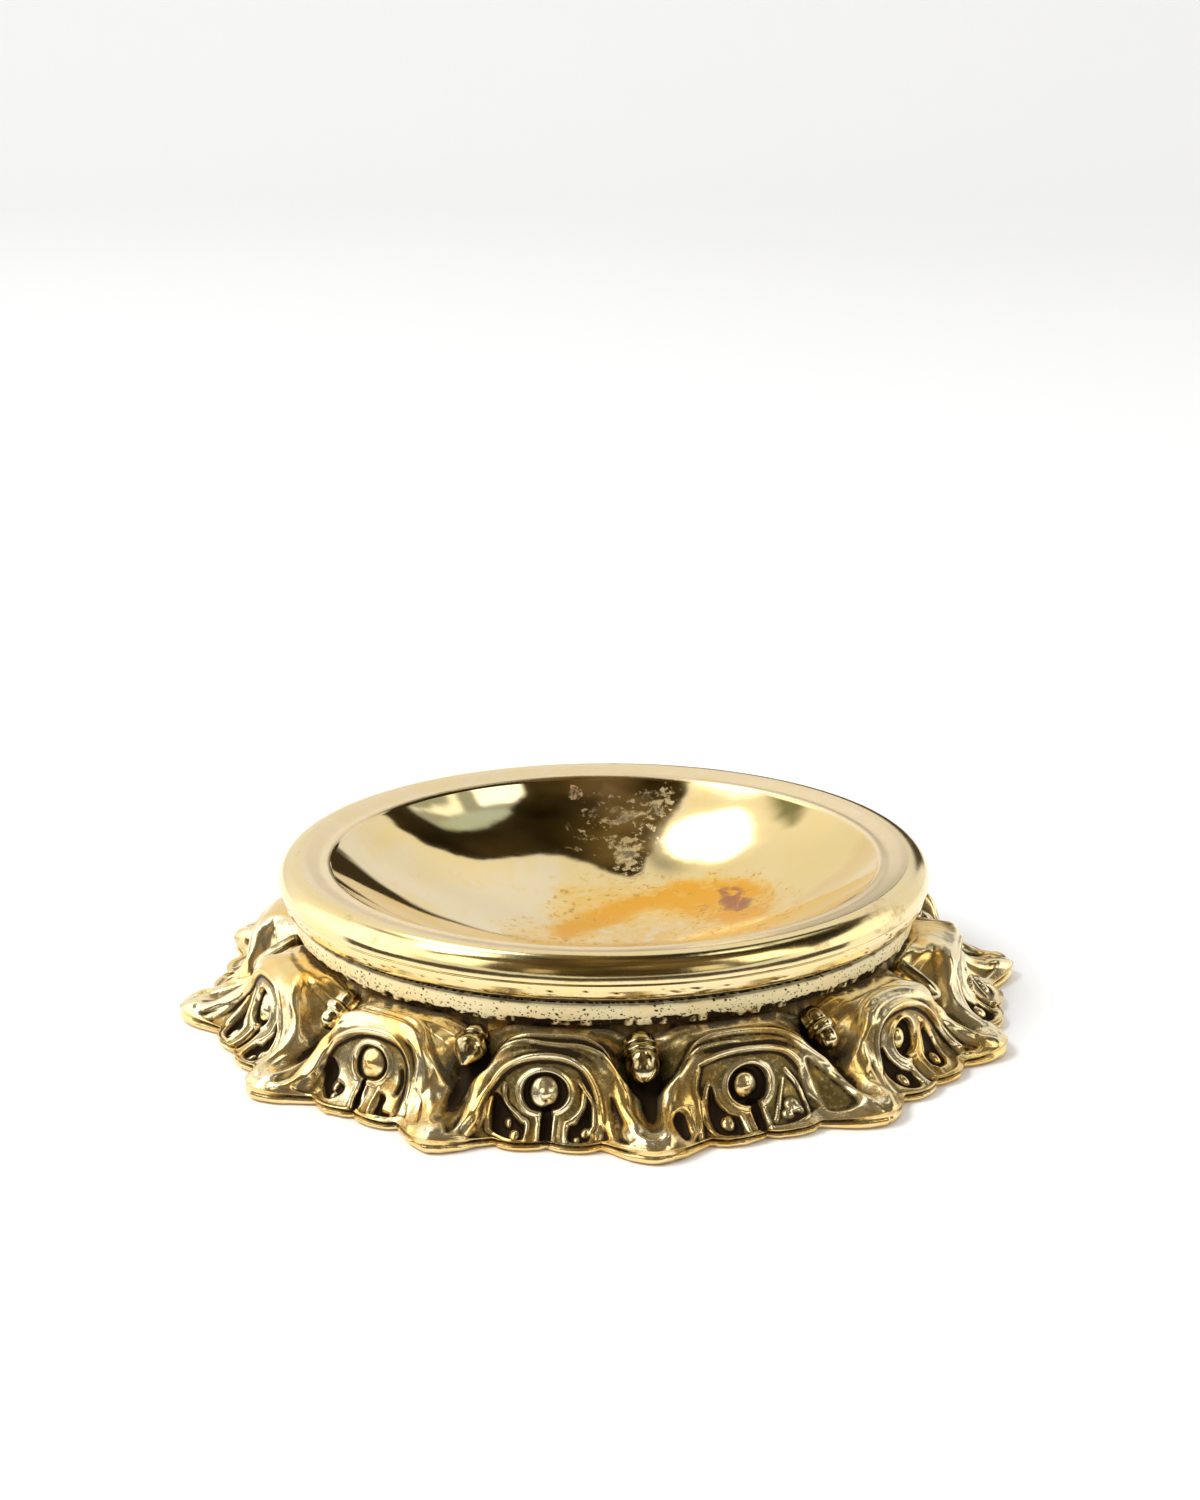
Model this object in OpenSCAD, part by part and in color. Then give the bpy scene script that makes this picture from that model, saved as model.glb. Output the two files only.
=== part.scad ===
// Diya oil lamp with a lotus-petal foot, in cast and turned brass.
// A turned bowl stands on a pitted neck ring, and the ring stands on a
// hollow skirt of twelve lotus petals. A clamp ring under the skirt and
// three small screws draw the stack together. A cast bud sits in the
// valley between each two petals.
// Frame: +Z up, origin at the centre of the face that the lamp rests on.

/* [Bowl] */
// Radius of the mouth edge
mouth_r = 32.4; // [31.5:0.1:32.8]
// Outer radius of the rim
rim_r = 38.35; // [37.8:0.05:39]
// Height of the rim crown above the table
rim_z = 18.9; // [18.6:0.05:19.4]
// Height of the lowest point inside the bowl
well_z = 7.0; // [6.6:0.1:8]
// Wall thickness of the bowl
wall = 2.2; // [1.4:0.1:2.4]
// Radius of the second moulding, below the rim
bead_r = 38.3; // [37.6:0.1:38.8]

/* [Neck ring] */
// Outer radius of the pitted band
band_r = 36.7; // [36.2:0.1:37.4]
// Height of the underside of the band
band_z0 = 10.6; // [10.4:0.1:10.8]
// Height of the top of the band
band_z1 = 13.1; // [13:0.05:13.2]

/* [Lotus skirt] */
// Number of petals; the hand-set tip lists hold twelve
petals = 12; // [12:1:12]
// Radius of the round hole in the skirt
skirt_bore_r = 32.2; // [32.15:0.05:32.6]
// Mean radius of the petal tips
tip_r = 50.2; // [49:0.1:51.5]
// Thickness of the flat deck that the neck ring stands on
deck_t = 2.0; // [1.8:0.1:2.2]
// Steps round one petal in the cast surface
petal_steps = 16; // [8:4:18]
// Steps down the outside of a petal
face_steps = 12; // [8:1:13]

/* [Buds] */
// Mean size of the buds between the petals, as a ratio
bud_scale = 1.0; // [0.85:0.05:1.1]
// Angle at which the buds slope down, in degrees
bud_slope = 33; // [28:1:38]

/* [Fixings] */
// Number of clamp screws
screws = 3; // [3:1:4]
// Radius of the circle that the screws stand on
screw_circle_r = 30.4; // [30.3:0.05:30.5]
// Radius of the screw shank
screw_r = 1.24; // [1.0:0.02:1.24]
// Radius of the screw head
head_r = 2.25; // [2:0.05:2.4]
// Thickness of the clamp ring
clamp_t = 1.6; // [1.2:0.1:1.8]

/* [Hidden] */

$fn = 128;

// the bowl's inside is part of a ball
mouth_z  = rim_z - 0.7;
well_d   = mouth_z - well_z;
ball_r   = (mouth_r * mouth_r + well_d * well_d) / (2 * well_d);
ball_z   = well_z + ball_r;
// the cap stops just under the well's surface, inside the spigot's wall
cap_top  = ball_z - sqrt(ball_r * ball_r - 29.4 * 29.4);
// the spigot that locates the stack and holds the screw threads
spigot_r = skirt_bore_r - 0.2;
spigot_i = 28.8;
deck_z   = band_z0 - deck_t;
spigot_z = deck_z + 0.3;
clamp_z  = deck_z - clamp_t;
wash_t   = 0.5;
head_h   = 1.5;
head_z   = clamp_z - wash_t - head_h;
tap_r    = 1.25;
tap_top  = 13.2;

// ---- hand-made irregularity of the casting ----
// azimuth of each tip, in degrees from -Y towards +X
tip_az = [14.5, 46, 75.5, 107, 136, 165.5, 194.5, 224.5, 255, 286, 317, 346];
// how far each tip stands out beyond, or short of, the mean
tip_dr = [0, -0.2, -0.5, 0.4, 0, 0.2, -0.1, 0.1, 0, 0.3, 0.1, 0.2];
// how much fuller each petal's belly is than the mean
belly  = [0, 0.2, 0.6, 0.7, 0.4, 0.1, 0, 0.1, 0.2, 0.1, 0, 0];

// ---- section of a petal, from the neck (first) to the hem (last) ----
// outside, on the petal's middle: radius and height
mid_r = [35.4, 37.4, 39.4, 40.9, 41.7, 42.0, 42.3, 42.8, 43.7, 45.1, 46.6];
mid_z = [10.1, 10.4, 10.3,  9.6,  8.5,  7.1,  5.6,  4.2,  2.9,  1.9,  1.3];
// outside, along the valley and out along the tip
val_r = [35.4, 36.4, 37.6, 39.0, 40.6, 42.3, 44.1, 45.9, 47.6, 49.0, 50.2];
val_z = [ 8.8,  7.9,  6.8,  5.6,  4.5,  3.7,  3.3,  3.1,  2.9,  2.6,  1.9];
// inside of the casting, under the petal's middle
mid_ri = [33.8, 35.2, 36.8, 38.0, 38.9, 39.5, 39.9, 40.3, 41.0, 42.2, 43.8];
mid_zi = [ 8.6,  8.5,  8.2,  7.6,  6.7,  5.6,  4.4,  3.2,  2.0,  0.9,  0.0];
// inside of the casting, under the valley
val_ri = [33.8, 34.8, 36.0, 37.4, 39.0, 40.8, 42.6, 44.2, 45.4, 46.4, 47.0];
val_zi = [ 8.0,  6.9,  5.6,  4.3,  3.1,  2.1,  1.4,  0.8,  0.4,  0.1,  0.0];
// hem: radius at angles from the petal's middle, four scallops to a petal
hem_a = [0, 1.5, 3, 4.5, 6, 7.2, 7.8, 8.5, 9.5, 10.5, 11.5, 12.5, 13.5, 14.3, 15];
hem_r = [46.0, 46.5, 46.8, 46.9, 46.7, 46.3, 46.2, 46.5, 47.2, 48.0, 48.8, 49.4, 49.85, 50.1, 50.2];

function clampf(x, a, b) = min(max(x, a), b);
function ease(x, a, b) = let (u = clampf((x - a) / (b - a), 0, 1)) u * u * (3 - 2 * u);
// smooth curve through equally spaced values, u from 0 to 1
function curve(Y, u) =
    let (n = len(Y) - 1, x = clampf(u, 0, 1) * n, i = min(floor(x), n - 1), f = x - i,
         p1 = Y[i], p2 = Y[i + 1],
         p0 = i == 0 ? 2 * p1 - p2 : Y[i - 1],
         p3 = i == n - 1 ? 2 * p2 - p1 : Y[i + 2])
    0.5 * (2 * p1 + (p2 - p0) * f + (2 * p0 - 5 * p1 + 4 * p2 - p3) * f * f
           + (3 * p1 - p0 - 3 * p2 + p3) * f * f * f);
// share of the valley's section in the section at angle a
function vtop(a) = pow(ease(abs(a), 7.5, 15), 1.2);
function vhem(a) = (lookup(abs(a), [for (i = [0 : len(hem_a) - 1]) [hem_a[i], hem_r[i]]]) - 46.6) / 3.6;

// one point of the outside: petal k, angle a from its middle, u down the face
function outer_rz(k, a, u) =
    let (g = ease(u, 0.5, 0.95),
         w = vtop(a) * (1 - g) + vhem(a) * g,
         wz = vtop(a) * (1 - g) + ease(abs(a), 8, 15) * g,
         full = belly[k] * ease(u, 0, 0.3) * (1 - ease(abs(a), 4, 13)),
         reach = tip_dr[a < 0 ? (k + petals - 1) % petals : k] * (tip_r / 50.2)
                 * ease(abs(a), 9, 15) * ease(u, 0.5, 1) + (tip_r - 50.2) * ease(abs(a), 9, 15) * g)
    [curve(mid_r, u) * (1 - w) + curve(val_r, u) * w + full + reach,
     curve(mid_z, u) * (1 - wz) + curve(val_z, u) * wz];
function inner_rz(a, u) =
    let (w = pow(ease(abs(a), 6, 15), 1.1))
    [curve(mid_ri, u) * (1 - w) + curve(val_ri, u) * w,
     u == 0 ? deck_z : curve(mid_zi, u) * (1 - w) + curve(val_zi, u) * w];

// closed section of the skirt at petal k, angle a
function section(k, a) =
    let (hemp = outer_rz(k, a, 1))
    concat(
        [[skirt_bore_r, band_z0], [35.0, band_z0]],
        [for (i = [0 : face_steps]) outer_rz(k, a, i / face_steps)],
        [[hemp[0] - 0.15, 0.75], [hemp[0] - 0.5, 0.22], [hemp[0] - 1.1, 0]],
        [for (i = [6 : -1 : 0]) inner_rz(a, i / 6)],
        [[skirt_bore_r, deck_z]]);

function spin(p, az) = [p[0] * sin(az), -p[0] * cos(az), p[1]];
function tip_before(k) = k == 0 ? tip_az[petals - 1] - 360 : tip_az[k - 1];

module skirt_mesh() {
    rows = [for (k = [0 : petals - 1]) for (j = [0 : petal_steps - 1])
            let (s = j / petal_steps, a = -15 + 30 * s,
                 az = tip_before(k) * (1 - s) + tip_az[k] * s)
            [for (p = section(k, a)) spin(p, az)]];
    n = len(rows);
    m = len(rows[0]);
    polyhedron(points = [for (r = rows) for (p = r) p],
               faces = [for (i = [0 : n - 1]) for (j = [0 : m - 1])
                        let (i2 = (i + 1) % n, j2 = (j + 1) % m)
                        for (q = [0, 1])
                        q == 0 ? [i * m + j, i2 * m + j, i2 * m + j2]
                               : [i * m + j, i2 * m + j2, i * m + j2]]);
}

// points on an arc, from angle a0 to a1
function arc(c, r, a0, a1, n) =
    [for (i = [0 : n]) let (t = a0 + (a1 - a0) * i / n) [c[0] + r * cos(t), c[1] + r * sin(t)]];

module oil_bowl() {
    nose_r = 2.45;
    color([0.80, 0.66, 0.36])
    difference() {
        union() {
            // rim, mouldings and spigot, turned in one piece
            rotate_extrude($fn = 180)
            polygon(concat(
                [[spigot_i, spigot_z], [spigot_r, spigot_z], [spigot_r, band_z1],
                 [35.6, band_z1], [35.7, 13.75], [bead_r - 1.2, 13.9], [bead_r - 0.8, 14.06],
                 [bead_r - 0.55, 14.4], [bead_r - 0.33, rim_z - 3.7],
                 [bead_r - 0.25, rim_z - 3.15], [bead_r - 0.3, rim_z - 2.93],
                 [bead_r - 0.5, rim_z - 2.87]],
                arc([rim_r - nose_r, rim_z - nose_r], nose_r, -8, 90, 14),
                [[rim_r - 3.2, rim_z - 0.1],
                 [mouth_r + 0.8, mouth_z + 0.1], [mouth_r + 0.35, mouth_z + 0.16],
                 [mouth_r, mouth_z], [spigot_i, mouth_z]]));
            // the cap of the bowl
            intersection() {
                translate([0, 0, ball_z]) sphere(r = ball_r + wall, $fn = 180);
                translate([0, 0, 3]) cylinder(r = 30, h = cap_top - 3, $fn = 180);
            }
        }
        // the oil well
        translate([0, 0, ball_z]) sphere(r = ball_r, $fn = 180);
        // threads of the clamp screws
        for (i = [0 : screws - 1]) rotate([0, 0, 90 + i * 360 / screws])
            translate([screw_circle_r, 0, spigot_z - 1])
                cylinder(r = tap_r, h = tap_top - spigot_z + 1, $fn = 32);
    }
}

module neck_ring() {
    color([0.76, 0.66, 0.42])
    rotate_extrude($fn = 180)
    polygon([[skirt_bore_r, band_z0], [band_r - 0.4, band_z0], [band_r - 0.08, band_z0 + 0.45],
             [band_r, band_z0 + 1.2], [band_r - 0.06, band_z0 + 1.9],
             [band_r - 0.3, band_z1 - 0.15], [band_r - 0.6, band_z1], [skirt_bore_r, band_z1]]);
}

module petal_skirt() {
    color([0.62, 0.50, 0.24]) skirt_mesh();
}

module clamp_ring() {
    color([0.70, 0.60, 0.36])
    difference() {
        rotate_extrude($fn = 180)
        polygon([[27.4, clamp_z], [33.4, clamp_z], [33.7, clamp_z + 0.3], [33.7, deck_z],
                 [27.4, deck_z]]);
        for (i = [0 : screws - 1]) rotate([0, 0, 90 + i * 360 / screws])
            translate([screw_circle_r, 0, clamp_z - 1])
                cylinder(r = tap_r + 0.15, h = clamp_t + 2, $fn = 32);
    }
}

module clamp_screws() {
    color([0.72, 0.70, 0.64])
    for (i = [0 : screws - 1]) rotate([0, 0, 90 + i * 360 / screws])
        translate([screw_circle_r, 0, 0]) difference() {
            rotate_extrude($fn = 48)
            polygon([[0, head_z], [head_r - 0.55, head_z], [head_r - 0.15, head_z + 0.3],
                     [head_r, head_z + 0.8], [head_r, head_z + head_h],
                     [screw_r, head_z + head_h], [screw_r, 12.4], [screw_r - 0.5, 12.8],
                     [0, 12.8]]);
            translate([-head_r - 1, -0.3, head_z - 1]) cube([2 * head_r + 2, 0.6, 1.75]);
        }
}

module lock_washers() {
    color([0.66, 0.65, 0.60])
    for (i = [0 : screws - 1]) rotate([0, 0, 90 + i * 360 / screws])
        translate([screw_circle_r, 0, clamp_z - wash_t])
            difference() {
                cylinder(r = head_r + 0.15, h = wash_t, $fn = 48);
                translate([0, 0, -1]) cylinder(r = tap_r + 0.1, h = wash_t + 2, $fn = 32);
            }
}

// ---- buds: each is turned about its own axis and then laid in its valley ----
// shape of a bud from its upper end: distance along the axis and radius
bud_ringed = [[0, 1.1], [0.5, 1.5], [1.1, 1.7], [1.5, 1.76], [1.75, 1.5], [2.0, 1.76],
              [2.4, 1.8], [2.65, 1.5], [2.95, 1.68], [3.9, 1.74], [4.7, 1.6], [5.3, 1.15],
              [5.6, 0.6], [5.7, 0.25]];
bud_drop   = [[0, 1.0], [0.5, 1.35], [1.1, 1.45], [1.35, 1.25], [1.7, 1.5], [2.6, 1.9],
              [3.4, 1.8], [4.2, 1.3], [4.8, 0.75], [5.3, 0.25]];
bud_capped = [[0, 1.0], [0.7, 1.35], [1.9, 1.45], [2.15, 1.3], [2.4, 1.65], [2.9, 1.75],
              [3.3, 1.65], [3.6, 1.35], [4.3, 1.3], [4.9, 0.95], [5.3, 0.3]];
bud_rod    = [[0, 0.9], [0.6, 1.15], [2.6, 1.3], [4.4, 1.3], [5.6, 1.1], [6.2, 0.7],
              [6.4, 0.25]];
// profile, size and sideways offset of the bud at each tip, in degrees
bud_of   = [bud_ringed, bud_capped, bud_rod, bud_ringed, bud_drop, bud_capped,
            bud_ringed, bud_rod, bud_drop, bud_rod, bud_capped, bud_drop];
bud_size = [1.08, 1.0, 1.0, 0.95, 1.0, 0.98, 1.04, 0.96, 1.0, 1.02, 0.98, 0.95];
bud_off  = [-0.5, 0.4, 0.5, 0, -0.4, 0.3, 0, 0.5, -0.3, -0.5, 0.3, -0.3];

module valley_bud(i) {
    pts = bud_of[i];
    last = pts[len(pts) - 1];
    color([0.78, 0.68, 0.44])
    rotate([0, 0, tip_az[i] + bud_off[i] - 90])
    translate([35.9, 0, 9.2])
    rotate([0, 90 + bud_slope, 0])
    scale(bud_size[i] * bud_scale)
    rotate_extrude($fn = 48)
    polygon(concat([[0, 0]], [for (p = pts) [p[1], p[0]]], [[0, last[0] + 0.05]]));
}
module bud_01() { valley_bud(0); }
module bud_02() { valley_bud(1); }
module bud_03() { valley_bud(2); }
module bud_04() { valley_bud(3); }
module bud_05() { valley_bud(4); }
module bud_06() { valley_bud(5); }
module bud_07() { valley_bud(6); }
module bud_08() { valley_bud(7); }
module bud_09() { valley_bud(8); }
module bud_10() { valley_bud(9); }
module bud_11() { valley_bud(10); }
module bud_12() { valley_bud(11); }

oil_bowl();
neck_ring();
petal_skirt();
clamp_ring();
clamp_screws();
lock_washers();
bud_01();
bud_02();
bud_03();
bud_04();
bud_05();
bud_06();
bud_07();
bud_08();
bud_09();
bud_10();
bud_11();
bud_12();
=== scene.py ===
import bpy, math
import numpy as np
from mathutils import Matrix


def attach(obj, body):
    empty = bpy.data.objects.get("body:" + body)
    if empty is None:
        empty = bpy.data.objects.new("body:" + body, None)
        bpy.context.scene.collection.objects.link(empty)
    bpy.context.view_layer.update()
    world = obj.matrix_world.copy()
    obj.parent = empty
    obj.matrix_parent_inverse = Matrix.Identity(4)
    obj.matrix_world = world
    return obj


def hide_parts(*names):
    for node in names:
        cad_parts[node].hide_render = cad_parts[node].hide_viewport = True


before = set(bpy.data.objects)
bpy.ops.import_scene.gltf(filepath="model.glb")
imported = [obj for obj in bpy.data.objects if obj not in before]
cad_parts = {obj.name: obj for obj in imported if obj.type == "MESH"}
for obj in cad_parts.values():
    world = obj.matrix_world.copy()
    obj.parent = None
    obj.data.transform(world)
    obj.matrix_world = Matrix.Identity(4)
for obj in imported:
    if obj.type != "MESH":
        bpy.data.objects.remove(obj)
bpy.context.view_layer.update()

MM = 0.001

# ------------------------------------------------------------------ tools
def ease(x, a, b):
    u = np.clip((x - a) / (b - a), 0.0, 1.0)
    return u * u * (3 - 2 * u)

def curve(Y, u):
    Y = np.asarray(Y, float); n = len(Y) - 1
    x = np.clip(u, 0, 1) * n; i = np.minimum(np.floor(x).astype(int), n - 1); f = x - i
    p1, p2 = Y[i], Y[i + 1]
    p0 = np.where(i == 0, 2 * p1 - p2, Y[np.maximum(i - 1, 0)])
    p3 = np.where(i == n - 1, 2 * p2 - p1, Y[np.minimum(i + 2, n)])
    return 0.5 * (2 * p1 + (p2 - p0) * f + (2 * p0 - 5 * p1 + 4 * p2 - p3) * f * f + (3 * p1 - p0 - 3 * p2 + p3) * f ** 3)

def hash01(*ints):
    h = np.zeros(np.broadcast(*ints).shape, np.uint64)
    for i, v in enumerate(ints):
        h = h ^ (np.asarray(v).astype(np.int64).astype(np.uint64) * np.uint64([73856093, 19349663, 83492791, 2654435761][i % 4]))
        h = (h ^ (h >> np.uint64(15))) * np.uint64(2246822519)
        h = h & np.uint64(0xFFFFFFFF)
    h = (h ^ (h >> np.uint64(13))) * np.uint64(3266489917) & np.uint64(0xFFFFFFFF)
    h = h ^ (h >> np.uint64(16))
    return (h & np.uint64(0xFFFFFF)).astype(float) / 16777215.0

def vnoise(p, scale, seed=0):
    """Smooth value noise in 3-D, p in mm, about -1 to 1, with features about `scale` mm across."""
    q = np.asarray(p, float) / scale
    i = np.floor(q).astype(int); f = q - i; f = f * f * (3 - 2 * f)
    out = 0
    for dx in (0, 1):
        for dy in (0, 1):
            for dz in (0, 1):
                w = (f[..., 0] if dx else 1 - f[..., 0]) * (f[..., 1] if dy else 1 - f[..., 1]) * (f[..., 2] if dz else 1 - f[..., 2])
                out = out + w * hash01(i[..., 0] + dx + 1000, i[..., 1] + dy + 1000, i[..., 2] + dz + 1000, np.full(w.shape, seed + 7))
    return out * 2 - 1

def fbm(p, scale, seed=0, octaves=3, gain=0.5):
    s, a, t = 0, 1.0, 0.0
    for o in range(octaves):
        s = s + a * vnoise(p, scale / 2 ** o, seed + 31 * o); t += a; a *= gain
    return s / t

def smooth_path(pts, closed=False, per=8):
    P = np.asarray(pts, float); n = len(P); out = []
    for i in range(n if closed else n - 1):
        p0 = P[(i - 1) % n] if closed or i > 0 else 2 * P[0] - P[1]
        p1 = P[i]; p2 = P[(i + 1) % n]
        p3 = P[(i + 2) % n] if closed or i + 2 < n else 2 * P[-1] - P[-2]
        t = np.linspace(0, 1, per, endpoint=False)[:, None]
        out.append(0.5 * (2 * p1 + (p2 - p0) * t + (2 * p0 - 5 * p1 + 4 * p2 - p3) * t * t + (3 * p1 - p0 - 3 * p2 + p3) * t ** 3))
    if not closed: out.append(P[-1:])
    return np.concatenate(out)

def seg_dist(X, Y, path, closed=False):
    """Distance from each (X, Y) to a polyline, and the share of the way along it."""
    A = path; B = np.roll(path, -1, 0) if closed else path[1:]
    if not closed: A = path[:-1]
    best = np.full(X.shape, 1e9); where = np.zeros(X.shape); n = len(A)
    for i in range(n):
        d = B[i] - A[i]; L = d @ d + 1e-12
        t = np.clip(((X - A[i, 0]) * d[0] + (Y - A[i, 1]) * d[1]) / L, 0, 1)
        e = np.hypot(X - A[i, 0] - t * d[0], Y - A[i, 1] - t * d[1])
        m = e < best; best = np.where(m, e, best); where = np.where(m, (i + t) / n, where)
    return best, where

def inside(X, Y, path):
    A = path; B = np.roll(path, -1, 0); r = np.zeros(X.shape, bool)
    for (x1, y1), (x2, y2) in zip(A, B):
        c = (y1 > Y) != (y2 > Y)
        r ^= c & (X < (x2 - x1) * (Y - y1) / (y2 - y1 + 1e-12) + x1)
    return r

def signed(X, Y, pts, per=8):
    p = smooth_path(pts, True, per)
    d, _ = seg_dist(X, Y, p, True)
    return np.where(inside(X, Y, p), -d, d)

def blur(H, sy, sx):
    for ax, s in ((0, sy), (1, sx)):
        if s <= 0: continue
        n = int(3 * s + 1); k = np.exp(-0.5 * (np.arange(-n, n + 1) / s) ** 2); k /= k.sum()
        pad = [(0, 0)] * H.ndim; pad[ax] = (n, n)
        Q = np.pad(H, pad, mode="edge"); out = 0
        for j, w in enumerate(k):
            sl = [slice(None)] * H.ndim; sl[ax] = slice(j, j + H.shape[ax]); out = out + w * Q[tuple(sl)]
        H = out
    return H

def grid_mesh(name, rows, closed_u=True, closed_v=False, attrs=None):
    """rows: (m, n, 3) points in mm; m round the piece, n along the section."""
    m, n = rows.shape[:2]
    v = (rows.reshape(-1, 3) * MM)
    i = np.arange(m if closed_u else m - 1); j = np.arange(n if closed_v else n - 1)
    I, J = np.meshgrid(i, j, indexing="ij"); I2, J2 = (I + 1) % m, (J + 1) % n
    q = np.stack([I * n + J, I2 * n + J, I2 * n + J2, I * n + J2], -1).reshape(-1, 4)
    me = bpy.data.meshes.new(name)
    me.vertices.add(len(v)); me.vertices.foreach_set("co", v.astype(np.float32).ravel())
    me.loops.add(q.size); me.loops.foreach_set("vertex_index", q.astype(np.int32).ravel())
    me.polygons.add(len(q)); me.polygons.foreach_set("loop_start", (np.arange(len(q)) * 4).astype(np.int32))
    me.polygons.foreach_set("loop_total", np.full(len(q), 4, np.int32))
    me.polygons.foreach_set("use_smooth", np.ones(len(q), bool))
    me.update(calc_edges=True); me.validate()
    for k, a in (attrs or {}).items():
        at = me.attributes.new(k, "FLOAT", "POINT"); at.data.foreach_set("value", np.asarray(a, np.float32).ravel())
    o = bpy.data.objects.new(name, me); bpy.context.scene.collection.objects.link(o)
    return o

# ------------------------------------------------------------------ the petal surface (same rules as the design)
TIP = np.array([14.5, 46, 75.5, 107, 136, 165.5, 194.5, 224.5, 255, 286, 317, 346.0])
TIP_DR = np.array([0, -0.2, -0.5, 0.4, 0, 0.2, -0.1, 0.1, 0, 0.3, 0.1, 0.2])
BELLY = np.array([0, 0.2, 0.6, 0.7, 0.4, 0.1, 0, 0.1, 0.2, 0.1, 0, 0])
MID_R = [35.4, 37.4, 39.4, 40.9, 41.7, 42.0, 42.3, 42.8, 43.7, 45.1, 46.6]
MID_Z = [10.1, 10.4, 10.3, 9.6, 8.5, 7.1, 5.6, 4.2, 2.9, 1.9, 1.3]
VAL_R = [35.4, 36.4, 37.6, 39.0, 40.6, 42.3, 44.1, 45.9, 47.6, 49.0, 50.2]
VAL_Z = [8.8, 7.9, 6.8, 5.6, 4.5, 3.7, 3.3, 3.1, 2.9, 2.6, 1.9]
MID_RI = [33.8, 35.2, 36.8, 38.0, 38.9, 39.5, 39.9, 40.3, 41.0, 42.2, 43.8]
MID_ZI = [8.6, 8.5, 8.2, 7.6, 6.7, 5.6, 4.4, 3.2, 2.0, 0.9, 0.0]
VAL_RI = [33.8, 34.8, 36.0, 37.4, 39.0, 40.8, 42.6, 44.2, 45.4, 46.4, 47.0]
VAL_ZI = [8.0, 6.9, 5.6, 4.3, 3.1, 2.1, 1.4, 0.8, 0.4, 0.1, 0.0]
HEM_A = [0, 1.5, 3, 4.5, 6, 7.2, 7.8, 8.5, 9.5, 10.5, 11.5, 12.5, 13.5, 14.3, 15]
HEM_R = [46.0, 46.5, 46.8, 46.9, 46.7, 46.3, 46.2, 46.5, 47.2, 48.0, 48.8, 49.4, 49.85, 50.1, 50.2]
U_Y = np.array([16.4, 14.4, 12.4, 10.7, 9.4, 7.9, 6.4, 4.9, 3.3, 1.6, 0.0])   # way up the petal from the hem, mm, at u = 0, 0.1 ... 1

def outer(k, a, u):
    g = ease(u, 0.5, 0.95); vt = ease(np.abs(a), 7.5, 15) ** 1.2; vh = (np.interp(np.abs(a), HEM_A, HEM_R) - 46.6) / 3.6
    w = vt * (1 - g) + vh * g; wz = vt * (1 - g) + ease(np.abs(a), 8, 15) * g
    full = BELLY[k] * ease(u, 0, 0.3) * (1 - ease(np.abs(a), 4, 13))
    reach = np.where(a < 0, TIP_DR[(k - 1) % 12], TIP_DR[k]) * ease(np.abs(a), 9, 15) * ease(u, 0.5, 1)
    return curve(MID_R, u) * (1 - w) + curve(VAL_R, u) * w + full + reach, curve(MID_Z, u) * (1 - wz) + curve(VAL_Z, u) * wz

def inner(a, u):
    w = ease(np.abs(a), 6, 15) ** 1.1
    return curve(MID_RI, u) * (1 - w) + curve(VAL_RI, u) * w, curve(MID_ZI, u) * (1 - w) + curve(VAL_ZI, u) * w

def azimuth(k, a):
    t0 = TIP[k - 1] - (360 if k == 0 else 0); s = (a + 15) / 30
    return t0 * (1 - s) + TIP[k] * s

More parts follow.
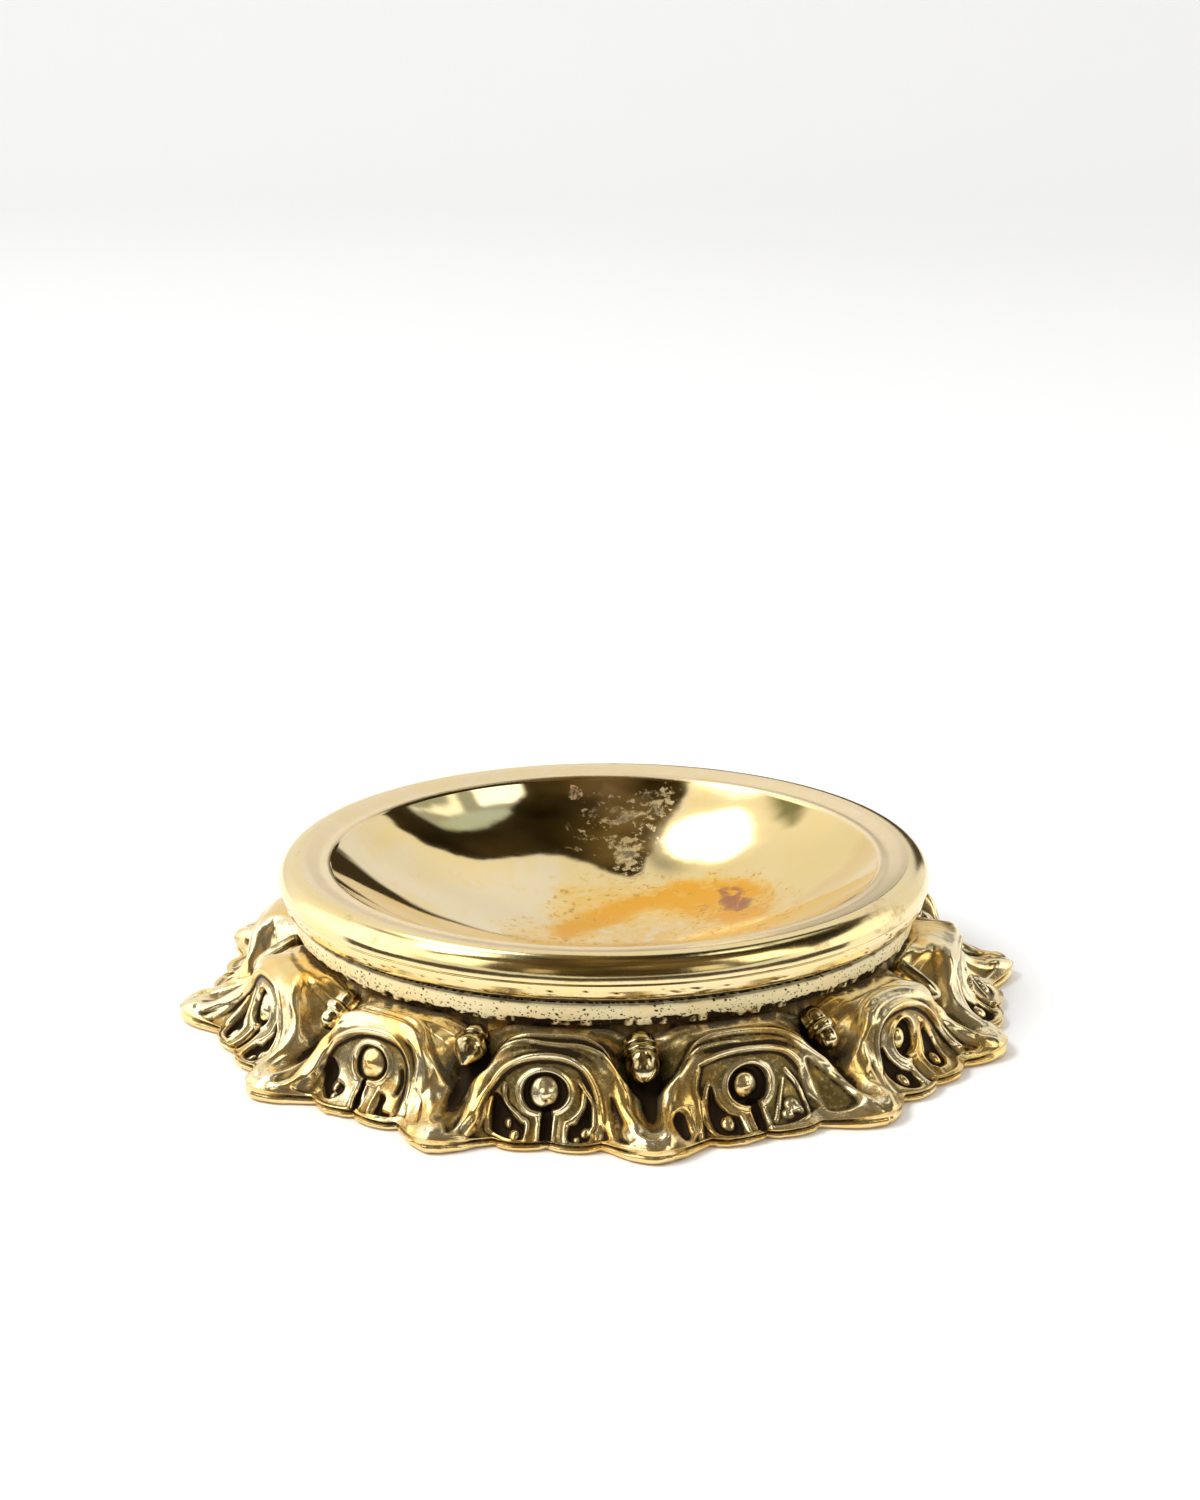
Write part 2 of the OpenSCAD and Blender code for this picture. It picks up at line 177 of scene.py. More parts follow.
# ------------------------------------------------------------------ petal carvings, drawn in mm on the flattened petal
# x to the right of the petal's middle, y up from the hem. Each petal was carved by hand, so each list differs.
def carve(X, Y, spec):
    """Height of the carving in mm, and how thick the antiquing lies on each zone (-1 bright to 1.4 black)."""
    H = np.zeros_like(X); T = np.zeros_like(X)
    for pts, depth, soft in spec.get("fields", []):
        s = signed(X, Y, pts); f = 1 - ease(s, -0.16, 0.16); H -= depth * f; T = T * (1 - f) + 0.30 * f
    for pts, depth, soft in spec.get("pits", []):
        s = signed(X, Y, pts); e = 0.16 + 0.30 * soft
        f = 1 - ease(s, -e * 1.7, 0.06)
        flankp = depth < 0.98
        H = np.minimum(H, H * (1 - f) - (0.35 if flankp else 1.0) * depth * f); T = np.maximum(T, (0.30 if flankp else 1.05) * (1 - ease(s, -e * 1.1, 0.0)))
    for pts, hw, h in spec.get("ridges", []):
        d, t = seg_dist(X, Y, smooth_path(pts)); taper = ease(t, 0, 0.12) * (1 - ease(t, 0.88, 1)) * 0.6 + 0.4
        high = float(np.mean([y for _, y in pts]) > 9.2); calm = 1 - high * (1 - spec.get("calm", 0.6))
        w = hw * (0.95 if high < 0.5 else 0.8); f = np.clip(1 - (d / w) ** 2, 0, 1) ** 0.75
        H += h * 1.1 * taper * calm * f; T = T * (1 - 0.95 * f * calm) - 0.55 * f * calm
        edge = np.exp(-((d - w * 1.25) / (0.55 * w)) ** 2); T = T + 0.52 * edge * taper * calm
    for pts, hw, dp in spec.get("grooves", []):
        d, t = seg_dist(X, Y, smooth_path(pts)); taper = ease(t, 0, 0.15) * (1 - ease(t, 0.85, 1)) * 0.75 + 0.25
        calm = 0.45 if np.mean([y for _, y in pts]) > 9.2 else 1.0
        f = 1 - ease(d, hw * 0.3, hw * 0.95); H -= dp * taper * calm * f; T = T + 0.6 * f * taper * calm
    ex, ey, rx, ry, dp, rw, rh = spec["eye"]
    q = np.hypot((X - ex) / rx, (Y - ey) / ry); rr = 0.5 * (rx + ry)
    bowl = 1 - ease(q * rr, rr - 0.42, rr - 0.12)
    H = H * (1 - bowl) + bowl * (-dp); T = T * (1 - bowl) + bowl * 1.1
    ring = np.exp(-(((q - 1) * rr - rw * 0.15) / (rw * 0.85)) ** 2) * (1 - 0.75 * np.exp(-((X - spec.get("gap", ex)) / 0.55) ** 2) * (Y < ey))
    H += rh * 1.2 * ring; T = T * (1 - ring) - 0.5 * ring
    for x, y, r, h in spec.get("balls", []):
        d = np.hypot(X - x, Y - y) / r; f = np.clip(1 - d * d, 0, 1)
        H += h * np.sqrt(f); T = np.where(d < 1, T * (1 - ease(f, 0.05, 0.5)) + 0.04 * ease(f, 0.05, 0.5), T)
    for pts, hw, dp in spec.get("slots", []):
        d, t = seg_dist(X, Y, smooth_path(pts)); f = 1 - ease(d, hw * 0.6, hw * 1.05); H = H - dp * f; T = np.maximum(T, 1.2 * f)
    return H, T

ARCH0 = [(-8.2, 0.6), (-8.0, 2.5), (-7.9, 4.5), (-7.2, 6.3), (-5.8, 8.0), (-4, 9.2), (-2, 9.8), (0.3, 9.9), (2.2, 9.6), (3.8, 8.6), (4.9, 6.9), (5.5, 5), (5.8, 3), (5.6, 1.0)]
P0 = dict(
    eye=(-0.7, 6.05, 2.95, 2.25, 1.15, 0.36, 0.34), gap=-0.3,
    balls=[(-0.85, 6.1, 1.85, 0.95), (-0.45, 5.8, 0.75, 0.28), (-3.7, 1.7, 0.85, 0.7), (-5.0, 2.9, 0.6, 0.45), (4.3, 2.3, 0.7, 0.6), (3.2, 1.5, 0.6, 0.5)],
    fields=[([(-8.0, 0.4), (-7.9, 4.5), (-7.2, 6.3), (-5.8, 8.0), (-4, 9.2), (-2, 9.8), (0.3, 9.9), (2.2, 9.6), (3.8, 8.6), (4.9, 6.9), (5.5, 5), (5.8, 3), (5.6, 0.4)], 0.35, 0.3)],
    pits=[([(-6.6, 5.6), (-5.9, 5.3), (-5.2, 4.4), (-3.4, 3.2), (-2.6, 2.6), (-2.6, 0.9), (-4.4, 0.7), (-6.0, 1.2), (-6.5, 3.0)], 1.25, 0.45),
          ([(4.5, 5.5), (4.9, 4.2), (5.0, 2.4), (4.6, 1.0), (2.4, 0.9), (2.2, 2.6), (3.0, 3.2), (3.9, 4.4)], 1.25, 0.45),
          ([(-10.7, 7.6), (-9.7, 7.0), (-9.0, 4.0), (-8.9, 1.4), (-9.8, 0.9), (-10.9, 3.0), (-11.3, 5.5)], 0.95, 0.6),
          ([(6.9, 6.4), (7.9, 5.2), (8.9, 3.2), (9.6, 1.6), (8.6, 0.7), (7.2, 1.0), (6.7, 3.0), (6.5, 5.2)], 0.95, 0.6)],
    ridges=[(ARCH0, 0.42, 0.34),
            ([(-5.5, 6.6), (-5.2, 4.7), (-3.3, 3.4), (-2.35, 2.8), (-2.25, 0.4)], 0.28, 0.3),
            ([(3.9, 6.4), (3.7, 4.5), (2.6, 3.3), (1.85, 2.7), (2.0, 0.3)], 0.28, 0.3),
            ([(-1.3, 3.5), (-1.05, 2.6), (-0.95, 0.2)], 0.25, 0.2), ([(0.55, 3.4), (0.5, 1.6), (0.7, 0.1)], 0.25, 0.2),
            ([(-9.5, 11.5), (-7, 12.3), (-5, 12.8), (-2, 12.9), (0, 13.0), (3, 12.8), (5, 12.2), (7, 10.9), (8.6, 10.0)], 0.38, 0.34),
            ([(-8.5, 10.0), (-6, 11.2), (-3.5, 11.8), (-1, 11.5), (1, 11.35), (3, 11.3), (5, 10.8), (7, 9.9), (8.6, 8.6)], 0.4, 0.3),
            ([(-6.9, 5.2), (-6.8, 3.0), (-6.2, 1.1), (-4.5, 0.55), (-2.8, 0.6)], 0.25, 0.25),
            ([(3.2, 7.4), (4.3, 6.0), (5.0, 4.6), (5.15, 2.4)], 0.25, 0.25)],
    grooves=[([(-9, 10.9), (-6, 12.0), (-3, 12.4), (0, 12.25), (3, 12.1), (5, 11.5), (7.5, 9.9)], 0.42, 0.42),
             ([(-7.2, 9.2), (-5, 10.4), (-2, 11.0), (1, 10.7), (4, 10.0), (5.9, 8.2)], 0.5, 0.22)],
    slots=[([(-0.3, 3.9), (-0.25, 2.0), (-0.1, -0.6)], 0.5, 1.0)])
P1 = dict(
    eye=(-0.6, 6.0, 2.5, 2.35, 1.35, 0.36, 0.34), gap=-0.3,
    balls=[(-0.85, 6.05, 1.45, 1.25), (-0.85, 5.9, 0.5, 0.16), (-3.6, 2.6, 0.9, 0.75), (3.6, 3.1, 0.9, 0.6), (2.7, 2.3, 0.6, 0.5), (4.3, 2.4, 0.45, 0.4)],
    fields=[([(-6.8, 0.3), (-6.4, 2.0), (-6.3, 4.5), (-6.5, 6.5), (-6.2, 8.2), (-5.2, 9.2), (-3.5, 9.7), (-1, 9.9), (1.5, 9.7), (3.5, 9.1), (4.8, 8.1), (5.6, 6.6), (5.9, 4.0), (5.8, 1.6)], 0.35, 0.3)],
    pits=[([(-4.8, 6.6), (-5.5, 4.5), (-5.5, 2.4), (-4.9, 1.1), (-3.2, 0.9), (-2.3, 0.9), (-2.1, 2.9), (-3.3, 3.7), (-4.2, 4.7)], 1.15, 0.42),
          ([(3.4, 6.3), (2.6, 5.0), (1.1, 2.2), (0.9, 0.9), (1.7, 1.2), (2.7, 3.2), (3.7, 5.4)], 0.8, 0.3),
          ([(3.7, 5.3), (4.8, 4.2), (5.1, 2.8), (4.5, 1.6), (2.4, 1.3), (1.8, 1.7), (2.9, 3.6)], 0.95, 0.4),
          ([(-9.5, 4.6), (-9.0, 5.4), (-8.3, 5.2), (-7.6, 4.0), (-7.5, 1.8), (-8.2, 0.9), (-8.9, 1.5), (-9.3, 3.0)], 1.0, 0.6),
          ([(6.2, 7.8), (8.6, 7.4), (9.9, 6.2), (10.2, 4.0), (9.5, 2.1), (8.0, 1.2), (6.7, 1.4), (6.6, 3.0), (6.5, 5.0)], 0.95, 0.7)],
    ridges=[([(-6.9, 0.4), (-6.5, 2.0), (-6.3, 4.5), (-6.5, 6.5), (-6.1, 8.3)], 0.36, 0.34),
            ([(-5.6, 8.9), (-3.5, 9.7), (-1, 9.95), (1.5, 9.75), (3.5, 9.1), (4.8, 8.1), (5.6, 7.1)], 0.36, 0.3),
            ([(-7.4, 10.2), (-5, 10.75), (-3, 11.0), (-1.2, 10.9)], 0.28, 0.25),
            ([(-8.5, 9.6), (-6.5, 11.4), (-4, 12.1), (-1, 12.25), (2, 11.9), (4, 11.1), (5.6, 9.8), (6.6, 8.9), (8, 8.4), (10, 8.2)], 0.55, 0.5),
            ([(3.8, 6.9), (5.0, 5.2), (5.4, 3.5), (5.1, 1.6), (3.2, 1.0)], 0.26, 0.28),
            ([(3.4, 6.0), (2.2, 3.4), (1.2, 1.5)], 0.2, 0.3),
            ([(-1.95, 3.2), (-1.75, 0.5)], 0.24, 0.24), ([(0.6, 4.2), (0.65, 2.5), (0.4, 0.4)], 0.24, 0.26),
            ([(-5.1, 6.8), (-5.85, 4.5), (-5.8, 2.2), (-5.2, 0.8)], 0.22, 0.2)],
    grooves=[([(-6.4, 9.9), (-4, 10.3), (-1.5, 10.5), (2, 10.4), (4.2, 9.6), (6.2, 8.2)], 0.36, 0.32),
             ([(-8, 12.2), (-4, 12.9), (0, 12.9), (3, 12.4), (5.6, 10.9)], 0.5, 0.25)],
    slots=[([(-0.15, 3.9), (-0.15, 2.2), (-0.35, -0.6)], 0.42, 1.0)])
P11 = dict(
    eye=(-0.35, 6.2, 2.6, 2.15, 0.95, 0.38, 0.3), gap=-1.2, calm=0.4,
    balls=[(-0.3, 6.25, 1.95, 1.05), (-0.3, 6.2, 0.7, 0.16), (-5.0, 3.0, 0.8, 0.5), (-4.2, 2.0, 0.55, 0.4)],
    fields=[([(-7.0, 0.6), (-7.2, 4.0), (-7.0, 7.0), (-5, 8.3), (-2.5, 9.4), (0, 9.8), (2.5, 9.5), (4.2, 8.6), (5.2, 7), (5.5, 5), (5.6, 3), (5.9, 1.0)], 0.3, 0.3)],
    pits=[([(-6.6, 5.6), (-6.7, 3.8), (-5.9, 1.7), (-4, 1.2), (-2.8, 2.3), (-3.1, 3.4), (-4.6, 3.7), (-5.5, 4.7)], 1.1, 0.42),
          ([(1.9, 3.6), (3.0, 3.3), (3.3, 2.1), (4.6, 1.6), (4.4, 0.9), (2.6, 1.1), (2.0, 2.2)], 1.1, 0.38),
          ([(-10.4, 6.6), (-9.6, 6.6), (-8.7, 4.2), (-8.3, 2.0), (-9.2, 1.0), (-10.4, 2.8)], 0.85, 0.6),
          ([(7.0, 5.0), (8.4, 4.4), (9.4, 3.0), (9.2, 1.4), (7.8, 0.9), (6.9, 1.6), (6.7, 3.2)], 0.8, 0.6)],
    ridges=[([(5.95, 1.0), (5.65, 3), (5.5, 5), (5.2, 7), (4.2, 8.6), (2.5, 9.5), (0, 9.8), (-2.5, 9.4), (-5, 8.2), (-7.0, 6.6), (-7.4, 4.0), (-7.2, 1.4)], 0.5, 0.42),
            ([(-9.0, 8.6), (-7, 10.2), (-4, 11.3), (0, 11.7), (3.5, 11.2), (6, 9.8), (7.4, 8.0)], 0.5, 0.36),
            ([(-9.5, 11.0), (-6, 12.6), (-2, 13.1), (2, 13.0), (5.5, 12.0), (8, 10.0)], 0.4, 0.28),
            ([(-1.35, 3.9), (-1.2, 2.4), (-0.7, 0.8), (-0.2, 0.0)], 0.22, 0.22), ([(-0.45, 3.8), (-0.2, 2.4), (0.3, 0.9), (0.9, 0.1)], 0.22, 0.22),
            ([(1.5, 3.9), (1.45, 2.2), (2.2, 0.75), (4.4, 0.6)], 0.22, 0.22)],
    grooves=[([(-7.6, 8.6), (-5, 9.9), (-2, 10.7), (1.5, 10.6), (4.4, 9.6), (6.2, 7.6)], 0.42, 0.3),
             ([(-8.5, 10.6), (-4, 12.2), (0, 12.4), (4, 11.9), (7, 10.0)], 0.42, 0.28),
             ([(3.9, 6.6), (4.3, 5.0), (4.1, 3.6)], 0.35, 0.3)],
    slots=[([(-0.9, 4.0), (-0.75, 2.4), (-0.2, 0.9), (0.15, -0.6)], 0.36, 0.95)])
P2 = dict(
    eye=(-1.2, 6.3, 2.3, 2.3, 1.25, 0.36, 0.34), gap=-0.4, calm=0.3,
    balls=[(-1.6, 6.5, 1.2, 1.0), (-4.0, 2.6, 0.8, 0.6), (3.2, 3.0, 0.8, 0.6)],
    fields=[([(-6.4, 0.6), (-6.2, 4.5), (-5.9, 7.5), (-4.8, 9.2), (-2.5, 9.9), (0.5, 9.8), (3, 8.8), (5.2, 7.0), (6.7, 5.4), (7.0, 3.0), (6.8, 1.2)], 0.35, 0.3)],
    pits=[([(-5.2, 6.4), (-5.7, 4.5), (-5.4, 2.2), (-4.4, 1.2), (-2.4, 1.2), (-2.0, 2.9), (-3.3, 3.9), (-4.2, 4.9)], 1.1, 0.42),
          ([(3.0, 7.0), (2.0, 4.8), (1.3, 3.2), (1.6, 1.9), (3.8, 1.9), (4.8, 3.0), (5.2, 4.6), (4.2, 6.0)], 1.15, 0.42),
          ([(-9.9, 5.2), (-9.2, 6.2), (-7.6, 6.0), (-6.9, 4.4), (-7.0, 2.0), (-8.2, 1.2), (-9.4, 2.0)], 0.9, 0.6),
          ([(7.6, 6.0), (9.0, 5.4), (9.8, 3.6), (9.2, 1.8), (8.0, 1.0), (7.4, 1.8), (7.5, 4.0)], 0.95, 0.5)],
    ridges=[([(-6.5, 0.8), (-6.2, 4.5), (-5.9, 7.6), (-4.6, 9.4), (-2.5, 10.0), (0.5, 9.8), (3, 8.8), (5.2, 7.2), (6.7, 5.6), (7.1, 3.2), (7.0, 1.2)], 0.42, 0.36),
            ([(-8.5, 10.4), (-6, 11.8), (-2, 12.4), (1.5, 11.8), (4.5, 9.8), (7.0, 8.0), (9.4, 7.4)], 0.6, 0.5),
            ([(2.5, 7.6), (3.6, 6.4), (2.6, 4.4), (1.6, 3.2), (1.5, 0.8)], 0.24, 0.26), ([(-1.9, 3.4), (-1.9, 0.8)], 0.24, 0.24),
            ([(0.3, 4.2), (0.4, 1.0)], 0.24, 0.24)],
    grooves=[([(-6.2, 9.6), (-3.5, 10.8), (0, 10.8), (3.4, 9.4), (6.4, 7.2)], 0.4, 0.34),
             ([(-8, 12.0), (-4, 12.9), (0, 12.9), (3.4, 11.9), (6, 10.2)], 0.5, 0.25)],
    slots=[([(-0.6, 4.0), (-0.55, 2.2), (-0.4, -0.4)], 0.42, 1.0)])

def mirrored(s):
    def m(pts): return [(-x, y) for x, y in pts][::-1]
    o = dict(s); e = s["eye"]; o["eye"] = (-e[0],) + tuple(e[1:]); o["gap"] = -s.get("gap", e[0])
    o["balls"] = [(-x, y, r, h) for x, y, r, h in s["balls"]]
    for key in ("fields", "pits", "ridges", "grooves", "slots"):
        o[key] = [(m(p), a, b) for p, a, b in s[key]]
    return o

SPECS = {0: P0, 1: P1, 2: P2, 11: P11, 10: P0, 3: P1, 4: P0, 5: mirrored(P2), 6: P0, 7: mirrored(P11), 8: mirrored(P1), 9: mirrored(P2)}

NA, NY_FACE, NY_SH = 150, 118, 14
# how polished each petal's shoulder and flanks are, -1 rubbed bright to 1 brown
SHOULDER = [0.16, -0.02, -0.35, -0.6, -0.2, 0.0, 0.0, -0.1, -0.3, -0.7, -0.75, -0.5]
# flank ridges: the thick rubbed edges that fall from the shoulder to the tips, right and left of each petal
def flank(k):
    r = np.random.default_rng(100 + k).uniform(-0.35, 0.35, 8)
    if k == 0: L = [(-11.2, 11.0), (-9.6, 9.4), (-8.5, 7.6), (-8.15, 4.8), (-8.2, 2.4), (-8.9, 0.9)]; R = [(8.6, 9.8), (8.4, 7.4), (8.5, 5.6), (9.2, 4.0), (9.0, 2.2), (10.2, 1.0)]
    elif k == 1: L = [(-9.4, 10.6), (-9.3, 8.6), (-9.9, 6.6), (-10.5, 4.4), (-10.6, 2.2), (-11.0, 1.0)]; R = [(6.4, 9.2), (9.0, 8.4), (10.6, 7.0), (11.0, 4.4), (10.6, 2.2), (11.2, 1.0)]
    elif k == 11: L = [(-8.4, 9.6), (-8.4, 7.6), (-8.1, 5.4), (-7.9, 3.0), (-8.6, 1.2)]; R = [(6.2, 10.0), (7.0, 7.6), (6.9, 5.2), (7.0, 3.0), (8.4, 1.1)]
    else: L = [(-9.6 + r[0], 10.4), (-9.0 + r[1], 8.0), (-9.2 + r[2], 5.0), (-9.4 + r[3], 2.8), (-10.4, 1.1)]; R = [(9.0 + r[4], 10.2), (8.6 + r[5], 7.6), (8.8 + r[6], 5.0), (9.2 + r[7], 2.8), (10.3, 1.1)]
    return L, R

def build_skirt():
    cols = []; pat = []
    for k in range(12):
        a1 = -15 + 30 * np.arange(NA) / NA
        y1 = np.concatenate([np.linspace(16.4, 13.4, NY_SH, endpoint=False), np.linspace(13.4, 0.0, NY_FACE)])
        A, Yp = np.meshgrid(a1, y1, indexing="ij")
        U = np.interp(Yp, U_Y[::-1], np.linspace(1, 0, 11))
        r, z = outer(k, A, U); r = r - 0.13 * ease(np.abs(A), 9, 14) * ease(U, 0.6, 0.95); phi = np.radians(azimuth(k, A))
        base = np.stack([r * np.sin(phi), -r * np.cos(phi), z], -1)
        X = A * 0.76
        wob = fbm(np.stack([X, Yp, np.full_like(X, k * 9.0)], -1), 5.0, 3, 2)
        wob2 = fbm(np.stack([X, Yp, np.full_like(X, k * 9.0 + 50)], -1), 5.0, 5, 2)
        amt = 0.10 if k in (0, 1, 11, 2) else 0.15
        Xw, Yw = X + amt * wob, Yp + amt * wob2
        H, T = carve(Xw, Yw, SPECS[k])
        # the shoulder above the outer arch: brown on some petals, rubbed bright on others
        sh = ease(Yw + 0.012 * X * X, 12.4, 13.2); T = T * (1 - sh) + SHOULDER[k] * sh
        band = ease(Yw + 0.02 * X * X, 9.6, 10.4) * (1 - sh) * (1 - ease(np.abs(X), 6, 9)); T = T + (0.30 if k in (0, 1) else SHOULDER[k] * 0.6) * band
        for pts in flank(k):
            d, t = seg_dist(Xw, Yw, smooth_path(pts)); f = np.clip(1 - (d / 1.15) ** 2, 0, 1); tp = ease(t, 0, 0.2) * (1 - 0.35 * ease(t, 0.8, 1))
            H = H + 0.45 * tp * f; g = ease(f, 0.0, 0.55) * tp; T = T * (1 - 0.95 * g) - ((0.30 if k in (0, 1) else 0.72) + 0.2 * (k in (10, 11, 9))) * g + (0.30 * ease(f, 0.72, 0.95) * tp if k in (0, 1) else 0)
        if k not in (0, 1):          # the side petals are rubbed smooth above the inner arch
            up = ease(Yw + 0.02 * X * X, 9.4, 10.6); c1 = 0.35 if k in (2, 11) else 0.88; H = H * (1 - c1 * up); T = T * (1 - c1 * up) - 0.34 * up * (k in (2, 3, 9, 10, 11))
        # the hood is a round arch, so its upper corners are cut back
        cr = ease(np.hypot(X / 9.2, np.clip(Yp - 3, 0, 20) / 9.4), 0.96, 1.26) * ease(np.abs(X), 3.0, 7.0) * ease(Yp, 8.2, 10.2) * (1 - ease(Yp, 14.0, 15.6))
        H = H - 1.15 * cr * (1 - 0.55 * ease(Yp, 12.2, 14.0)); T = T + (0.38 if k in (0, 1) else 0.22) * cr * (1 - 0.5 * ease(Yp, 12.2, 14.0))
        if k in (2, 3, 9, 10, 11): T = T - 0.14
        side = 1 - ease(np.abs(A), 13.6, 15.0)
        H = H * side
        H = blur(H, 0.75, 0.75) if k in (0, 1, 2, 11) else blur(H, 1.0, 1.0)
        # the sharp bottom of the valley
        vdeep = ease(np.abs(A), 13.2, 15.0) * ease(Yp, 3.0, 5.0) * (1 - ease(Yp, 13.5, 15.5)); H = H - 0.55 * vdeep
        skin = 0.020 * fbm(base, 0.9, 11, 3, 0.6) + 0.045 * fbm(base, 3.2, 17, 2)
        cav = blur(H, 5.0, 6.0) - H
        fine = blur(H, 2.0, 2.4) - H
        cols.append((base, H + skin, A, Yp, U)); pat.append(T + 1.7 * np.clip(cav, -0.5, 0.6) + 2.3 * np.clip(fine, -0.3, 0.4))
    base = np.concatenate([c[0] for c in cols]); H = np.concatenate([c[1] for c in cols])
    A = np.concatenate([c[2] for c in cols]); Yp = np.concatenate([c[3] for c in cols]); U = np.concatenate([c[4] for c in cols])
    P = np.concatenate(pat); m = len(base)
    # normals of the plain surface
    du = np.roll(base, -1, 0) - np.roll(base, 1, 0)
    dv = np.gradient(base, axis=1)
    nrm = np.cross(dv, du); nrm /= np.linalg.norm(nrm, axis=-1, keepdims=True) + 1e-9
    rad = np.stack([base[..., 0], base[..., 1], np.zeros(base.shape[:2])], -1)
    sgn = np.sign((nrm * rad).sum(-1).mean()); nrm = nrm * sgn
    nrm[..., 2] = np.where(nrm[..., 2] < -0.3, -0.3, nrm[..., 2])
    fade = ease(Yp, 0.0, 0.45) * (1 - ease(Yp, 15.4, 16.4))
    face = base + nrm * (H * fade)[..., None]
    # hem lip, underside and inside
    ang = np.arctan2(base[:, 0, 0], -base[:, 0, 1]); a_deg = A[:, 0]
    dirs = np.stack([np.sin(ang), -np.cos(ang)], -1)
    def ring(r, z):
        r = np.broadcast_to(r, ang.shape); z = np.broadcast_to(z, ang.shape)
        return np.concatenate([dirs * r[:, None], z[:, None]], -1)[:, None, :]
    hr = np.hypot(face[:, -1, 0], face[:, -1, 1]) - 0.20; hz = face[:, -1, 2]
    # the hem is filed by hand: small flats and nicks
    q = np.stack([hr * np.sin(ang), hr * np.cos(ang), np.zeros_like(hr)], -1)
    nick = np.clip(fbm(q, 2.4, 23, 3, 0.6), 0, 1) * 0.42 + 0.10 * np.abs(fbm(q, 0.9, 29, 2))
    for a0 in (-7.5, 7.5, 0.0):
        nick = nick + 0.22 * np.exp(-((a_deg - a0) / 0.5) ** 2)
    dip = 0.16 * fbm(q + 9.0, 3.0, 27, 2)
    tipw = ease(np.abs(a_deg), 10.5, 13.5); gl = 0.30 * (1 - 0.7 * tipw)
    lip = [ring(hr + 0.06 - 0.3 * nick, hz * 0.95 + dip), ring(hr - 0.02 - 0.5 * nick, hz * 0.86 + dip), ring(hr - gl - 0.6 * nick, hz * 0.76 + dip * 0.8), ring(hr - gl * 1.1 - 0.7 * nick, hz * 0.66 + dip * 0.7), ring(hr + 0.02 - nick, hz * 0.56 + dip * 0.5), ring(hr + 0.12 - nick, hz * 0.46 + dip * 0.3),
           ring(hr + 0.10 - nick, hz * 0.34), ring(hr - 0.04 - nick, hz * 0.22), ring(hr - 0.28 - 0.8 * nick, hz * 0.12), ring(hr - 0.6 - 0.5 * nick, hz * 0.04), ring(hr - 0.95 - 0.3 * nick, 0.01), ring(hr - 1.2, 0.0)]
    ins = []
    for i in range(11, -1, -1):
        r, z = inner(a_deg, np.full_like(a_deg, i / 11.0)); z = np.full_like(z, 8.6) if i == 0 else z
        ins.append(ring(r, z))
    top = [ring(32.2, 8.6), ring(32.2, 10.6), ring(35.0, 10.6)]
    rows = np.concatenate([face] + lip + ins + top, 1)
    n = rows.shape[1]; nl = len(lip)
    # the antiquing also lies in the valleys and in the seam under the neck ring
    valley = ease(np.abs(A), 12.9, 14.4) * (1 - ease(U, 0.50, 0.70)); vn = fbm(base, 1.3, 37, 3, 0.6)
    neck = ease(Yp, 15.5, 16.3)
    P = P * (1 - 0.85 * valley) + valley * (0.82 + 0.45 * ease(np.abs(A), 13.6, 14.7) + 0.55 * vn) * 0.95 + 0.10 * vn
    P = P * (1 - neck) + neck * np.maximum(P, 0.52 + 0.7 * vn)
    P = np.clip(P, -1, 1.6)
    pad = np.full((m, n - P.shape[1]), 0.0)
    lipt = np.array([-0.5, -0.1, 0.75, 0.85, 0.1, -0.45, -0.5, -0.4, -0.2, 0.0, 0.2, 0.3]); tipm = tipw[:, None] * np.array([0, 0, 1, 1, 1, 0, 0, 0, 0, 0, 0, 0])[None, :]
    pad[:, :nl] = lipt[None, :] * (1 - tipm) - 0.2 * tipm + 1.3 * np.clip(nick - 0.14, 0, 0.6)[:, None]; pad[:, nl:] = 0.55
    P = np.concatenate([P, pad], 1)
    nf = face.shape[1]
    # hem mask: marks the hem lip, where the material paints a deeper gold reflection
    lipm = np.zeros((m, n)); lipm[:, nf: nf + nl - 1] = 1.0
    lipm[:, nf - 8: nf] = np.linspace(0, 1, 8)[None, :]
    under = np.zeros((m, n)); under[:, nf + nl - 1:] = 1.0
    o = grid_mesh("petal_skirt_cast", rows, True, True, {"patina": P, "hem": lipm, "under": under})
    return o

# ------------------------------------------------------------------ turned parts
def revolve(name, prof, n, fn=None, attrs_fn=None, closed_v=False):
    prof = np.asarray(prof, float)
    t = np.radians(np.arange(n) * 360.0 / n)
    R = np.broadcast_to(prof[:, 0], (n, len(prof))).copy(); Z = np.broadcast_to(prof[:, 1], (n, len(prof))).copy()
    T = np.broadcast_to(t[:, None], R.shape)
    if fn is not None: R, Z = fn(T, R, Z)
    rows = np.stack([R * np.sin(T), -R * np.cos(T), Z], -1)
    attrs = attrs_fn(T, R, Z) if attrs_fn else None
    return grid_mesh(name, rows, True, closed_v, attrs)

def arc(c, r, a0, a1, n):
    t = np.radians(np.linspace(a0, a1, n)); return [(c[0] + r * math.cos(x), c[1] + r * math.sin(x)) for x in t]

def dens(pts, step):
    """Extra points along a section, no further apart than step."""
    out = [pts[0]]
    for a, b in zip(pts[:-1], pts[1:]):
        n = max(1, int(math.ceil(math.dist(a, b) / step)))
        out += [(a[0] + (b[0] - a[0]) * i / n, a[1] + (b[1] - a[1]) * i / n) for i in range(1, n + 1)]
    return out

MOUTH_R, RIM_R, RIM_Z, WELL_Z, WALL, BEAD_R = 32.4, 38.35, 18.9, 7.0, 2.2, 38.3
MOUTH_Z = RIM_Z - 0.7; WD = MOUTH_Z - WELL_Z; BALL_R = (MOUTH_R ** 2 + WD ** 2) / (2 * WD); BALL_Z = WELL_Z + BALL_R

